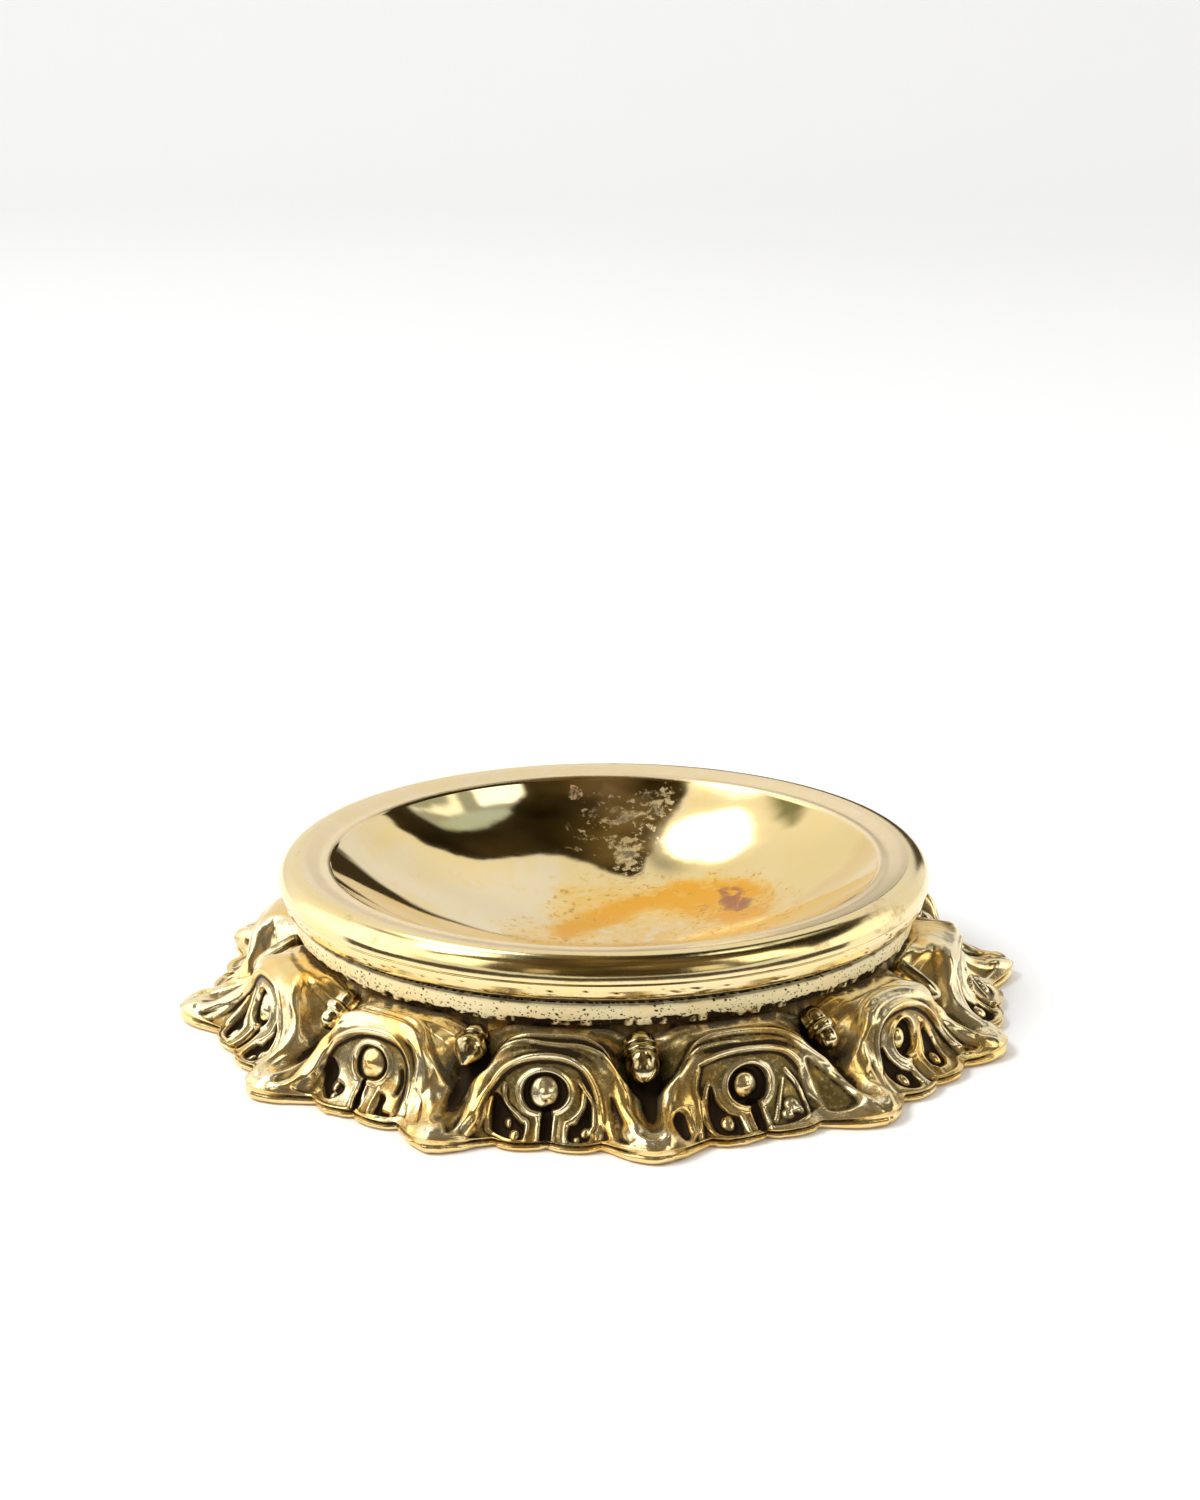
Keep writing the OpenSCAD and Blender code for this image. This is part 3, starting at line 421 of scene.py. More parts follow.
# stains inside the bowl, outlines in mm seen from above
AMBER = [(-8.6, 14.6), (-2.8, 16.5), (2.2, 16.3), (6.1, 17.4), (12.0, 17.3), (18.3, 13.9), (22.8, 5.9), (23.4, 0.0), (20.5, -6), (13, -8), (4.3, -7), (-5.1, -6), (-10.6, -4.3), (-12.3, 1.4), (-9.0, 8.0)]
AMBER2 = [(5.8, 15.5), (9.7, 16.0), (14.8, 14.3), (18.5, 11.2), (19.4, 4.5), (17.4, 2.4), (13.4, 4.3), (9.2, 7.6), (5.4, 10.3), (2.2, 8.5), (-1.2, 5.0), (-4.4, 0.4), (-6.6, 2.2), (-5.0, 7.4), (0.3, 12.2)]
PURPLE = [(12.0, 13.3), (14.4, 13.9), (17.1, 11.1), (16.9, 7.3), (15.2, 5.0), (13.0, 7.8)]
MOTT = [(-8.2, 26.0), (-6.7, 29.7), (-2.3, 31.4), (2.7, 32.1), (5.9, 31.4), (5.3, 27.7), (4.2, 24.1), (2.8, 19.5), (1.6, 16.8), (-0.9, 17.5), (-3.3, 19.8), (-6.4, 20.6), (-8.8, 22.7)]
MOTT2 = [(-3.3, 23.2), (-0.8, 24.1), (1.9, 22.9), (2.0, 18.0), (0.7, 16.4), (-1.4, 17.4)]
MOTT3 = [(1.9, 30.5), (3.3, 32.0), (5.7, 31.4), (5.3, 28.2), (4.1, 25.4), (2.4, 26.6)]
GOLDR = [(22.1, 3.2), (24.5, 1.6), (27.9, 0.6), (31.4, 4.0), (32.3, 7.4), (30.0, 11.8), (27.5, 6.8), (24.2, 5.6)]
FLECK = [(-8.8, 29.9), (-7.6, 30.2), (-7.1, 28.5), (-8.5, 28.1)]

def build_bowl():
    inside_pts = [(r, BALL_Z - math.sqrt(BALL_R ** 2 - r * r)) for r in np.concatenate([np.linspace(0.02, 4, 8, endpoint=False), np.linspace(4, MOUTH_R - 0.22, 150)])]
    mouth = [(MOUTH_R - 0.08, MOUTH_Z + 0.03), (MOUTH_R + 0.06, MOUTH_Z + 0.11), (MOUTH_R + 0.24, MOUTH_Z + 0.165), (MOUTH_R + 0.45, MOUTH_Z + 0.175), (MOUTH_R + 0.75, MOUTH_Z + 0.12)]
    flat = dens([(MOUTH_R + 1.0, MOUTH_Z + 0.11), (RIM_R - 3.2, RIM_Z - 0.12), (RIM_R - 2.7, RIM_Z - 0.045)], 0.4)
    nose = arc((RIM_R - 2.47, RIM_Z - 2.47), 2.45, 92, -8, 40) + [(RIM_R - 0.10, RIM_Z - 2.90), (RIM_R - 0.22, RIM_Z - 2.95)]
    b = BEAD_R
    bead = dens([(b - 0.36, RIM_Z - 2.97), (b - 0.30, RIM_Z - 2.99), (b - 0.25, RIM_Z - 3.08), (b - 0.25, RIM_Z - 3.25), (b - 0.33, RIM_Z - 3.7), (b - 0.55, 14.4), (b - 0.66, 14.2), (b - 0.84, 14.04), (b - 1.2, 13.92)], 0.12)
    low = dens([(b - 1.2, 13.92), (35.7, 13.75)], 0.4)[1:] + [(35.6, 13.45), (35.6, 13.1), (32.2, 13.1), (32.0, 13.0), (32.0, 9.0), (31.9, 8.9), (28.9, 8.9), (28.8, 9.0), (28.8, 12.4)]
    under = [(r, BALL_Z - math.sqrt((BALL_R + WALL) ** 2 - r * r)) for r in np.linspace(28.8, 0.02, 24)]
    prof = inside_pts + mouth + flat + nose + bead + low + under
    i_mid = len(inside_pts); i_nose = i_mid + len(mouth) + len(flat); i_bead = i_nose + len(nose); i_low = i_bead + len(bead)
    rng = np.random.default_rng(8)
    pits = [(rng.uniform(0, 2 * math.pi), 14.0 + rng.beta(1.0, 1.8) * 1.9, 0.05 + 0.13 * rng.random() ** 2) for _ in range(900)]
    store = {}
    def shape(T, R, Z):
        X, Y = R * np.sin(T), -R * np.cos(T)
        P = np.stack([X, Y, Z], -1)
        idx = np.arange(R.shape[1])
        ins = (idx < i_mid).astype(float)[None, :]
        fade = ins * ease(R, 0.0, 3.0) * (1 - ease(R, 29.5, 32.2))
        Z = Z + fade * (0.05 * fbm(P, 16.0, 41, 2) + 0.012 * fbm(P, 5.0, 43, 2))
        mid = ((idx >= i_mid) & (idx < i_nose)).astype(float)[None, :]
        Z = Z - mid * 0.03 * np.abs(fbm(P, 9.0, 47, 2))
        nz = ((idx >= i_nose) & (idx < i_low)).astype(float)[None, :]
        R = R - nz * 0.04 * np.abs(fbm(P, 5.0, 53, 3))
        # fine pits on the second moulding
        dark = np.zeros_like(R); t1 = T[:, 0]; j0, j1 = i_bead - 1, i_low + 1
        for tp, zp, rp in pits:
            da = (t1 - tp + math.pi) % (2 * math.pi) - math.pi
            c = np.where(np.abs(da) * 38 < rp * 2.4)[0]
            if not len(c): continue
            d = np.hypot(da[c, None] * 38 * 0.9, Z[c, j0:j1] - zp) / rp
            dark[c, j0:j1] = np.maximum(dark[c, j0:j1], 1 - ease(d, 0.4, 1.2))
        R = R - 0.05 * dark
        # ragged lower edge of that moulding
        rag = np.clip(fbm(P * np.array([1, 1, 0.5]), 1.3, 59, 3, 0.6) * 1.6, 0, 1) * (1 - ease(Z, 13.95, 14.35)) * (idx >= i_bead)[None, :] * (idx < i_low)[None, :]
        R = R - 0.25 * rag; store["dark"] = dark + rag
        return R, Z
    def attrs(T, R, Z):
        idx = np.broadcast_to(np.arange(R.shape[1])[None, :], R.shape); X, Y = R * np.sin(T), -R * np.cos(T)
        P = np.stack([X, Y, Z], -1)
        g1 = np.exp(-((Z - (RIM_Z - 2.95)) / 0.07) ** 2) * (idx >= i_nose) * (idx < i_bead + 4)
        g2 = (1 - ease(Z, 13.86, 14.05)) * (idx >= i_bead)
        brown = fbm(P * np.array([1, 1, 1.5]), 2.6, 91, 3)
        pat = g1 * (0.45 + 0.5 * brown) + g2 * (0.95 + 0.5 * brown) + 0.95 * store["dark"]
        pat = pat + ((idx >= i_nose) & (idx < i_bead)) * np.clip(0.75 * fbm(P * np.array([1, 1, 2.4]), 7.0, 111, 4, 0.62) - 0.02, 0, 0.34)
        ins = (idx < i_mid).astype(float); und = (idx >= i_low + 3).astype(float)
        nose_m = ((idx >= i_nose) & (idx < i_bead)).astype(float); flat_m = ((idx >= i_mid) & (idx < i_nose)).astype(float)
        wx = X + 1.1 * fbm(P, 3.4, 95, 3, 0.6); wy = Y + 1.1 * fbm(P, 3.4, 97, 3, 0.6)
        def stain(pts, soft): return np.where(idx < i_mid, 1 - ease(signed(wx, wy, pts, 3), -soft, soft * 0.6), 0.0)
        return {"patina": pat, "inside": ins, "under": und, "nose": nose_m, "flat": flat_m, "warm": np.where(idx < i_mid, ease(X + 0.35 * Y + 2.5 * fbm(P, 9.0, 93, 2), 4.0, 26.0), 0.0), "amber": 0.55 * stain(AMBER, 4.0) + 0.6 * stain(AMBER2, 2.4), "purple": stain(PURPLE, 1.4),
                "mott": np.clip(0.5 * stain(MOTT, 2.6) + 0.3 * stain(MOTT2, 1.8) + 0.3 * stain(MOTT3, 1.6), 0, 1), "gold": stain(GOLDR, 1.6), "fleck": stain(FLECK, 0.35)}
    return revolve("oil_bowl_turned", prof, 432, shape, attrs)

BAND_R, BZ0, BZ1 = 36.7, 10.6, 13.1
def build_band():
    outer_pts = dens([(32.2, BZ1), (BAND_R - 0.6, BZ1)], 1.2) + dens([(BAND_R - 0.6, BZ1), (BAND_R - 0.22, BZ1 - 0.10), (BAND_R - 0.03, BZ0 + 2.1), (BAND_R - 0.12, BZ0 + 1.4), (BAND_R - 0.28, BZ0 + 0.7), (BAND_R - 0.5, BZ0)], 0.09)
    prof = outer_pts + dens([(BAND_R - 0.5, BZ0), (32.2, BZ0)], 1.2)[1:] + [(32.2, 11.8)]
    n = 1800
    rng = np.random.default_rng(5)
    pits = [(rng.uniform(0, 2 * math.pi), BZ0 + 0.1 + rng.beta(1.1, 1.7) * 2.35, 0.045 + 0.10 * rng.random() ** 2.6) for _ in range(2600)]
    store = {}
    def shape(T, R, Z):
        dark = np.zeros_like(R); dep = np.zeros_like(R)
        t1 = T[:, 0]
        outm = (R > 35.9)
        for tp, zp, rp in pits:
            da = (t1 - tp + math.pi) % (2 * math.pi) - math.pi
            cols = np.where(np.abs(da) * BAND_R < rp * 3)[0]
            if not len(cols): continue
            d = np.hypot(da[cols, None] * BAND_R * 0.85, Z[cols] - zp) / rp
            f = (1 - ease(d, 0.35, 1.15)) * outm[cols]
            dep[cols] = np.maximum(dep[cols], f * rp * 0.6); dark[cols] = np.maximum(dark[cols], f)
        P = np.stack([R * np.sin(T), -R * np.cos(T), Z], -1)
        seam = 0.42 + 0.42 * fbm(P * np.array([1, 1, 0]), 3.2, 62, 3, 0.6) + 0.30 * fbm(P * np.array([1, 1, 0]), 0.9, 63, 2)
        heavy = ease(np.cos(T - math.radians(48)), 0.45, 0.95) * 0.35        # the seam is wider on the right
        low = (1 - ease(Z - BZ0, seam + heavy - 0.12, seam + heavy + 0.06)) * outm
        ragged = np.clip(fbm(P * np.array([1, 1, 0.5]), 1.1, 61, 3, 0.6) * 1.5 + 0.75, 0, 1) * low
        topd = (1 - ease(BZ1 - Z, 0.10, 0.34)) * outm * np.clip(fbm(P * np.array([1, 1, 0.3]), 2.0, 65, 3, 0.6) * 1.4 + 0.35, 0, 1)
        dep = dep + ragged * 0.34 + 0.02 * (1 + fbm(P, 0.9, 67, 2)) * outm
        store["p"] = np.clip(dark * 1.15 + ragged * 1.35 + 0.45 * topd, 0, 1.6)
        return R - dep, Z
    def attrs(T, R, Z):
        return {"patina": store["p"]}
    return revolve("neck_band_pitted", prof, n, shape, attrs, closed_v=True)

# ------------------------------------------------------------------ buds
RINGED = [(0, 1.1), (0.5, 1.5), (1.1, 1.7), (1.5, 1.76), (1.75, 1.58), (2.0, 1.76), (2.4, 1.8), (2.65, 1.58), (2.95, 1.7), (3.7, 1.7), (4.4, 1.52), (4.95, 1.18), (5.35, 0.72), (5.58, 0.25)]
DROP = [(0, 1.0), (0.5, 1.35), (1.1, 1.45), (1.35, 1.25), (1.7, 1.5), (2.6, 1.9), (3.4, 1.8), (4.2, 1.3), (4.8, 0.75), (5.3, 0.25)]
CAPPED = [(0, 1.0), (0.7, 1.35), (1.9, 1.45), (2.15, 1.3), (2.4, 1.65), (2.9, 1.75), (3.3, 1.65), (3.6, 1.35), (4.3, 1.3), (4.9, 0.95), (5.3, 0.3)]
ROD = [(0, 0.9), (0.6, 1.15), (2.6, 1.3), (4.4, 1.3), (5.6, 1.1), (6.2, 0.7), (6.4, 0.25)]
BUD_OF = [RINGED, CAPPED, ROD, RINGED, DROP, CAPPED, RINGED, ROD, DROP, ROD, CAPPED, DROP]
BUD_SIZE = [1.08, 1.0, 1.0, 0.95, 1.0, 0.98, 1.04, 0.96, 1.0, 1.02, 0.98, 0.95]
BUD_OFF = [-0.5, 0.4, 0.5, 0, -0.4, 0.3, 0, 0.5, -0.3, -0.5, 0.3, -0.3]
def build_bud(i):
    pts = BUD_OF[i]; s = BUD_SIZE[i]
    ps = smooth_path([(p[1], p[0]) for p in pts], False, 7)
    prof = np.concatenate([[[0.02, -0.02]], ps, [[0.02, pts[-1][0] + 0.06]]]) * s
    n = 56
    t = np.arange(n) * 2 * math.pi / n
    R = prof[:, 0][None, :] * np.ones((n, 1)); L = prof[:, 1][None, :] * np.ones((n, 1)); T = t[:, None] * np.ones(R.shape)
    x, y, w = R * np.cos(T), R * np.sin(T), L
    q = np.stack([x, y, w], -1)
    lump = 1 + 0.05 * fbm(q + i * 13.0, 1.8, 71, 2)
    x, y = x * lump, y * lump
    sl = math.radians(33); b = math.radians(90 + 33)
    # local x -> turned by (90 + slope) about Y, then to its place in the valley
    lx = x * math.cos(b) + w * math.sin(b); lz = -x * math.sin(b) + w * math.cos(b); ly = y
    lx = lx + 35.9; lz = lz + 9.2
    az = math.radians(TIP[i] + BUD_OFF[i] - 90)
    gx = lx * math.cos(az) - ly * math.sin(az); gy = lx * math.sin(az) + ly * math.cos(az)
    rows = np.stack([gx, gy, lz], -1)
    # dark in the steps between the rings and at the root end; the lower side, where the bud meets the valley, is darker
    # too, partly antiquing in that crevice and partly painted shade under the bud
    rr = prof[:, 0]; k = np.ones(9) / 9; avg = np.convolve(np.pad(rr, 4, mode="edge"), k, "valid")
    cav = np.clip((avg - rr) * 3.2, -0.3, 1.0)[None, :] * np.ones((n, 1))
    up = -np.cos(T)       # local -x is up after the turn
    low = ease(-np.cos(T) * -1, 0.1, 0.9)
    pat = 0.14 + cav * 1.1 + 0.9 * ease(np.cos(T), 0.1, 0.8) + 0.45 * (1 - ease(w, 0.2, 1.2)) + 0.35 * fbm(q + i * 7.0, 1.2, 73, 3)
    o = grid_mesh("valley_bud_%02d" % (i + 1), rows, True, False, {"patina": pat})
    return o

# ------------------------------------------------------------------ materials
def new_mat(name):
    m = bpy.data.materials.new(name); m.use_nodes = True
    nt = m.node_tree; nt.nodes.clear()
    out = nt.nodes.new("ShaderNodeOutputMaterial"); bs = nt.nodes.new("ShaderNodeBsdfPrincipled")
    nt.links.new(bs.outputs["BSDF"], out.inputs["Surface"])
    return m, nt, bs

class G:
    def __init__(self, nt): self.nt = nt
    def node(self, t, **kw):
        n = self.nt.nodes.new(t)
        for k, v in kw.items(): setattr(n, k, v)
        return n
    def link(self, a, b): self.nt.links.new(a, b)
    def put(self, sock, v):
        if hasattr(v, "is_output") or isinstance(v, bpy.types.NodeSocket): self.link(v, sock)
        else: sock.default_value = v
    def math(self, op, a, b=0.0, c=None, clamp=False):
        n = self.node("ShaderNodeMath", operation=op, use_clamp=clamp); self.put(n.inputs[0], a); self.put(n.inputs[1], b)
        if c is not None: self.put(n.inputs[2], c)
        return n.outputs[0]
    def attr(self, name):
        n = self.node("ShaderNodeAttribute", attribute_type="GEOMETRY", attribute_name=name); return n.outputs["Fac"]
    def coords(self):
        return self.node("ShaderNodeTexCoord").outputs["Object"]
    def scaled(self, co, s):
        n = self.node("ShaderNodeMapping"); n.inputs["Scale"].default_value = s; self.link(co, n.inputs["Vector"]); return n.outputs[0]
    def noise(self, co, scale, detail=4.0, rough=0.55, dist=0.0):
        n = self.node("ShaderNodeTexNoise"); self.link(co, n.inputs["Vector"])
        n.inputs["Scale"].default_value = scale; n.inputs["Detail"].default_value = detail; n.inputs["Roughness"].default_value = rough; n.inputs["Distortion"].default_value = dist
        return n.outputs["Fac"]
    def voronoi(self, co, scale, feature="F1", rnd=1.0):
        n = self.node("ShaderNodeTexVoronoi", feature=feature); self.link(co, n.inputs["Vector"]); n.inputs["Scale"].default_value = scale; n.inputs["Randomness"].default_value = rnd
        return n.outputs["Distance"]
    def ramp(self, v, lo, hi, a=0.0, b=1.0):
        n = self.node("ShaderNodeMapRange", interpolation_type="SMOOTHSTEP"); self.put(n.inputs["Value"], v)
        n.inputs["From Min"].default_value = lo; n.inputs["From Max"].default_value = hi; n.inputs["To Min"].default_value = a; n.inputs["To Max"].default_value = b
        return n.outputs["Result"]
    def mix(self, f, a, b):
        n = self.node("ShaderNodeMix", data_type="RGBA"); self.put(n.inputs[0], f)
        for s, v in ((n.inputs[6], a), (n.inputs[7], b)):
            if isinstance(v, tuple): s.default_value = v + (1.0,) if len(v) == 3 else v
            else: self.link(v, s)
        return n.outputs[2]
    def bump(self, h, strength, dist, prev=None):
        n = self.node("ShaderNodeBump"); n.inputs["Strength"].default_value = strength; n.inputs["Distance"].default_value = dist
        self.link(h, n.inputs["Height"])
        if prev is not None: self.link(prev, n.inputs["Normal"])
        return n.outputs[0]

BRASS = (0.99, 0.86, 0.56)      # rubbed, pale
GOLD = (0.94, 0.67, 0.24)       # warmer, where the lacquer is thick
OLIVE = (0.215, 0.155, 0.046)     # thin antiquing over metal
BROWN = (0.37, 0.20, 0.038)     # thick lacquer
DARK = (0.030, 0.018, 0.009)    # black-brown in the recesses

def mat_cast(name="cast_brass_antiqued_and_painted_hem_reflection"):
    m, nt, bs = new_mat(name); g = G(nt); co = g.coords()
    pat = g.attr("patina"); hem = g.attr("hem"); und = g.attr("under")
    n1 = g.noise(co, 520.0, 5.0, 0.65, 0.4)     # about 2 mm
    n2 = g.noise(co, 1900.0, 4.0, 0.65, 0.2)
    n3 = g.noise(co, 130.0, 3.0, 0.5, 0.6)
    v = g.math("ADD", pat, g.math("MULTIPLY", g.math("SUBTRACT", n1, 0.5), 0.75))
    v = g.math("ADD", v, g.math("MULTIPLY", g.math("SUBTRACT", n2, 0.5), 0.95))
    thin = g.ramp(v, -0.16, 0.34)
    deep = g.ramp(v, 0.44, 0.84)
    clean = g.mix(g.ramp(n3, 0.43, 0.62), BRASS, GOLD)
    # painted reflection: the hem lip is tinted a deeper gold to stand for the saturated double reflection between the
    # hem and the floor
    clean = g.mix(g.math("MULTIPLY", hem, g.ramp(n1, 0.25, 0.75, 0.35, 1.0)), clean, (0.94, 0.66, 0.22))
    mid = g.mix(g.ramp(g.math("ADD", g.math("MULTIPLY", n3, 0.6), g.math("MULTIPLY", n1, 0.4)), 0.46, 0.58), OLIVE, BROWN)
    mid = g.mix(g.ramp(n2, 0.52, 0.66, 0.0, 0.75), mid, (0.72, 0.54, 0.22))      # rubbed specks
    c = g.mix(thin, clean, mid)
    c = g.mix(deep, c, DARK)
    c = g.mix(g.math("MULTIPLY", und, 0.55), c, (0.30, 0.21, 0.09))
    g.link(c, bs.inputs["Base Color"])
    g.link(g.math("SUBTRACT", 0.5, g.math("MULTIPLY", deep, 0.42)), bs.inputs["Specular IOR Level"])
    g.link(g.math("SUBTRACT", g.math("SUBTRACT", 0.92, g.math("MULTIPLY", thin, 0.10)), g.math("MULTIPLY", deep, 0.26)), bs.inputs["Metallic"])
    r = g.math("ADD", 0.13, g.math("MULTIPLY", thin, 0.15)); r = g.math("ADD", r, g.math("MULTIPLY", deep, 0.15)); r = g.math("ADD", r, g.math("MULTIPLY", n2, 0.08))
    g.link(r, bs.inputs["Roughness"])
    b = g.bump(g.noise(co, 3200.0, 3.0, 0.6), 0.28, 0.00005)
    b = g.bump(n2, 0.30, 0.00007, b)
    g.link(b, bs.inputs["Normal"])
    return m

def mat_bud():
    m, nt, bs = new_mat("bud_brass_antiqued"); g = G(nt); co = g.coords()
    pat = g.attr("patina"); n1 = g.noise(co, 620.0, 5.0, 0.6, 0.3); n2 = g.noise(co, 2000.0, 3.0, 0.6)
    v = g.math("ADD", pat, g.math("MULTIPLY", g.math("SUBTRACT", n1, 0.5), 0.8))
    thin = g.ramp(v, -0.1, 0.35); deep = g.ramp(v, 0.42, 0.85)
    # the patina attribute here also carries the painted shade on each bud's lower side
    c = g.mix(thin, BRASS, (0.27, 0.195, 0.07)); c = g.mix(deep, c, DARK)
    g.link(c, bs.inputs["Base Color"]); g.link(g.math("SUBTRACT", 1.0, g.math("MULTIPLY", deep, 0.35)), bs.inputs["Metallic"])
    g.link(g.math("ADD", 0.13, g.math("MULTIPLY", v, 0.12, clamp=True)), bs.inputs["Roughness"])
    g.link(g.bump(n2, 0.3, 0.00006), bs.inputs["Normal"])
    return m

def mat_band():
    m, nt, bs = new_mat("band_brass_pitted"); g = G(nt); co = g.coords()
    pat = g.attr("patina"); n1 = g.noise(co, 900.0, 4.0, 0.6); n2 = g.noise(co, 170.0, 3.0, 0.5)
    v = g.math("ADD", pat, g.math("MULTIPLY", g.math("SUBTRACT", n1, 0.5), 0.45))
    sp = g.math("MULTIPLY", g.ramp(g.voronoi(co, 2100.0), 0.12, 0.24, 1.0, 0.0), g.ramp(n1, 0.42, 0.56))
    thin = g.ramp(v, 0.12, 0.5); deep = g.ramp(v, 0.45, 0.85)
    c = g.mix(g.ramp(n2, 0.35, 0.7), (1.0, 0.87, 0.52), (1.0, 0.81, 0.43))
    c = g.mix(thin, c, (0.40, 0.29, 0.13)); c = g.mix(deep, c, DARK); c = g.mix(g.math("MULTIPLY", sp, 0.45), c, (0.30, 0.20, 0.09))
    g.link(c, bs.inputs["Base Color"]); bs.inputs["Metallic"].default_value = 0.10; g.link(g.math("SUBTRACT", 0.5, g.math("MULTIPLY", deep, 0.45)), bs.inputs["Specular IOR Level"])
    g.link(g.math("ADD", 0.42, g.math("MULTIPLY", n1, 0.12)), bs.inputs["Roughness"])
    b = g.bump(n1, 0.25, 0.00006); b = g.bump(g.noise(co, 3000.0, 3.0, 0.6), 0.4, 0.00006, b)
    g.link(b, bs.inputs["Normal"])
    return m

def mat_bowl():
    m, nt, bs = new_mat("bowl_brass_polished"); g = G(nt); co = g.coords()
    pat = g.attr("patina"); ins = g.attr("inside"); und = g.attr("under"); flat = g.attr("flat"); nose = g.attr("nose")
    amber, purple, mott, gold, fleck, warm = [g.attr(k) for k in ("amber", "purple", "mott", "gold", "fleck", "warm")]
    n1 = g.noise(co, 300.0, 5.0, 0.62, 0.5); n2 = g.noise(co, 1050.0, 4.0, 0.6); n3 = g.noise(co, 75.0, 4.0, 0.55, 0.8)
    out = g.math("SUBTRACT", 1.0, ins)
    c = g.mix(g.ramp(n3, 0.40, 0.64), (0.92, 0.78, 0.51), (0.93, 0.74, 0.37))
    c = g.mix(g.math("MULTIPLY", out, g.ramp(n3, 0.35, 0.65, 0.55, 1.0)), c, (0.95, 0.77, 0.38))
    c = g.mix(g.math("MULTIPLY", flat, g.ramp(n1, 0.35, 0.7, 0.35, 0.95)), c, (0.99, 0.83, 0.58))
    # amber skin left by the oil
    am = g.ramp(g.math("ADD", g.math("ADD", amber, g.math("MULTIPLY", g.math("SUBTRACT", n2, 0.5), 0.9)), g.math("MULTIPLY", g.math("SUBTRACT", n1, 0.5), 1.5)), 0.10, 0.85)
    c = g.mix(g.math("MULTIPLY", warm, g.ramp(n3, 0.3, 0.7, 0.75, 1.0)), c, (0.93, 0.72, 0.32))
    c = g.mix(g.math("MULTIPLY", am, 0.97), c, g.mix(g.ramp(amber, 0.45, 1.0), (0.95, 0.60, 0.14), (0.92, 0.45, 0.035)))
    c = g.mix(g.math("MULTIPLY", am, g.ramp(n1, 0.52, 0.66, 0.0, 0.5)), c, (0.95, 0.72, 0.26))
    c = g.mix(g.math("MULTIPLY", g.math("MULTIPLY", g.ramp(n2, 0.56, 0.64), g.ramp(n1, 0.47, 0.56)), g.ramp(amber, 0.02, 0.3, 0.0, 0.6)), c, (0.46, 0.29, 0.09))
    pu = g.ramp(g.math("ADD", purple, g.math("MULTIPLY", g.math("SUBTRACT", n1, 0.5), 2.6)), 0.50, 0.95)
    c = g.mix(g.math("MULTIPLY", g.math("MULTIPLY", pu, purple), 0.85), c, (0.38, 0.15, 0.09))
    c = g.mix(g.math("MULTIPLY", gold, 0.7), c, (0.86, 0.60, 0.24))
    # mottled tarnish on the far wall
    mo = g.ramp(g.math("ADD", g.math("MULTIPLY", mott, 0.5), g.math("MULTIPLY", g.math("SUBTRACT", n1, 0.5), 2.6)), 0.34, 0.62)
    mo = g.math("MULTIPLY", mo, g.ramp(mott, 0.02, 0.3))
    m2 = g.math("MULTIPLY", g.ramp(g.math("ADD", mott, g.math("MULTIPLY", g.math("SUBTRACT", n2, 0.5), 2.6)), 0.62, 0.95), g.ramp(mott, 0.02, 0.3))
    mo = g.math("MAXIMUM", mo, g.math("MULTIPLY", m2, 0.7))
    c = g.mix(g.math("MULTIPLY", mo, 0.9), c, g.mix(g.ramp(n2, 0.42, 0.60), (0.12, 0.08, 0.035), (0.62, 0.46, 0.22)))
    fl = g.math("MULTIPLY", g.ramp(g.math("ADD", fleck, g.math("MULTIPLY", g.math("SUBTRACT", n2, 0.5), 1.6)), 0.75, 1.2), fleck)
    v = g.math("ADD", pat, g.math("MULTIPLY", g.math("SUBTRACT", n2, 0.5), 0.5)); v = g.math("MULTIPLY", v, out)
    thin = g.ramp(v, 0.14, 0.5); deep = g.ramp(v, 0.45, 0.85)
    c = g.mix(g.math("MULTIPLY", thin, 0.85), c, (0.46, 0.30, 0.11)); c = g.mix(deep, c, DARK); c = g.mix(g.math("MULTIPLY", und, 0.5), c, (0.42, 0.31, 0.15))
    c = g.mix(g.math("MULTIPLY", fl, 0.85), c, (0.75, 0.20, 0.06))
    g.link(c, bs.inputs["Base Color"])
    g.link(g.math("SUBTRACT", g.math("SUBTRACT", 1.0, g.math("MULTIPLY", deep, 0.5)), g.math("MULTIPLY", g.math("MAXIMUM", fl, g.math("MULTIPLY", mo, 0.7)), 0.6)), bs.inputs["Metallic"])
    r = g.math("ADD", g.ramp(ins, 0.0, 1.0, 0.13, 0.035), g.math("MULTIPLY", n2, 0.03)); r = g.math("ADD", r, g.math("MULTIPLY", am, 0.10)); r = g.math("ADD", r, g.math("MULTIPLY", mo, 0.25))
    r = g.math("ADD", r, g.math("MULTIPLY", flat, 0.17)); r = g.math("ADD", r, g.math("MULTIPLY", deep, 0.3)); r = g.math("ADD", r, g.math("MULTIPLY", und, 0.2))
    g.link(r, bs.inputs["Roughness"])
    # fine turning lines and handling scratches, on the outside and the rim
    sep = g.node("ShaderNodeSeparateXYZ"); g.link(co, sep.inputs[0])
    rad = g.math("SQRT", g.math("ADD", g.math("MULTIPLY", sep.outputs[0], sep.outputs[0]), g.math("MULTIPLY", sep.outputs[1], sep.outputs[1])))
    comb = g.node("ShaderNodeCombineXYZ"); g.link(rad, comb.inputs[0]); g.link(sep.outputs[2], comb.inputs[1])
    lines = g.math("MULTIPLY", g.noise(comb.outputs[0], 5200.0, 2.0, 0.6), out)
    b = g.bump(lines, 0.10, 0.00004)
    b = g.bump(g.math("MULTIPLY", n2, g.math("ADD", g.math("MULTIPLY", out, 0.8), g.math("ADD", g.math("MULTIPLY", mo, 1.0), 0.12))), 0.14, 0.00006, b)
    g.link(b, bs.inputs["Normal"])
    return m

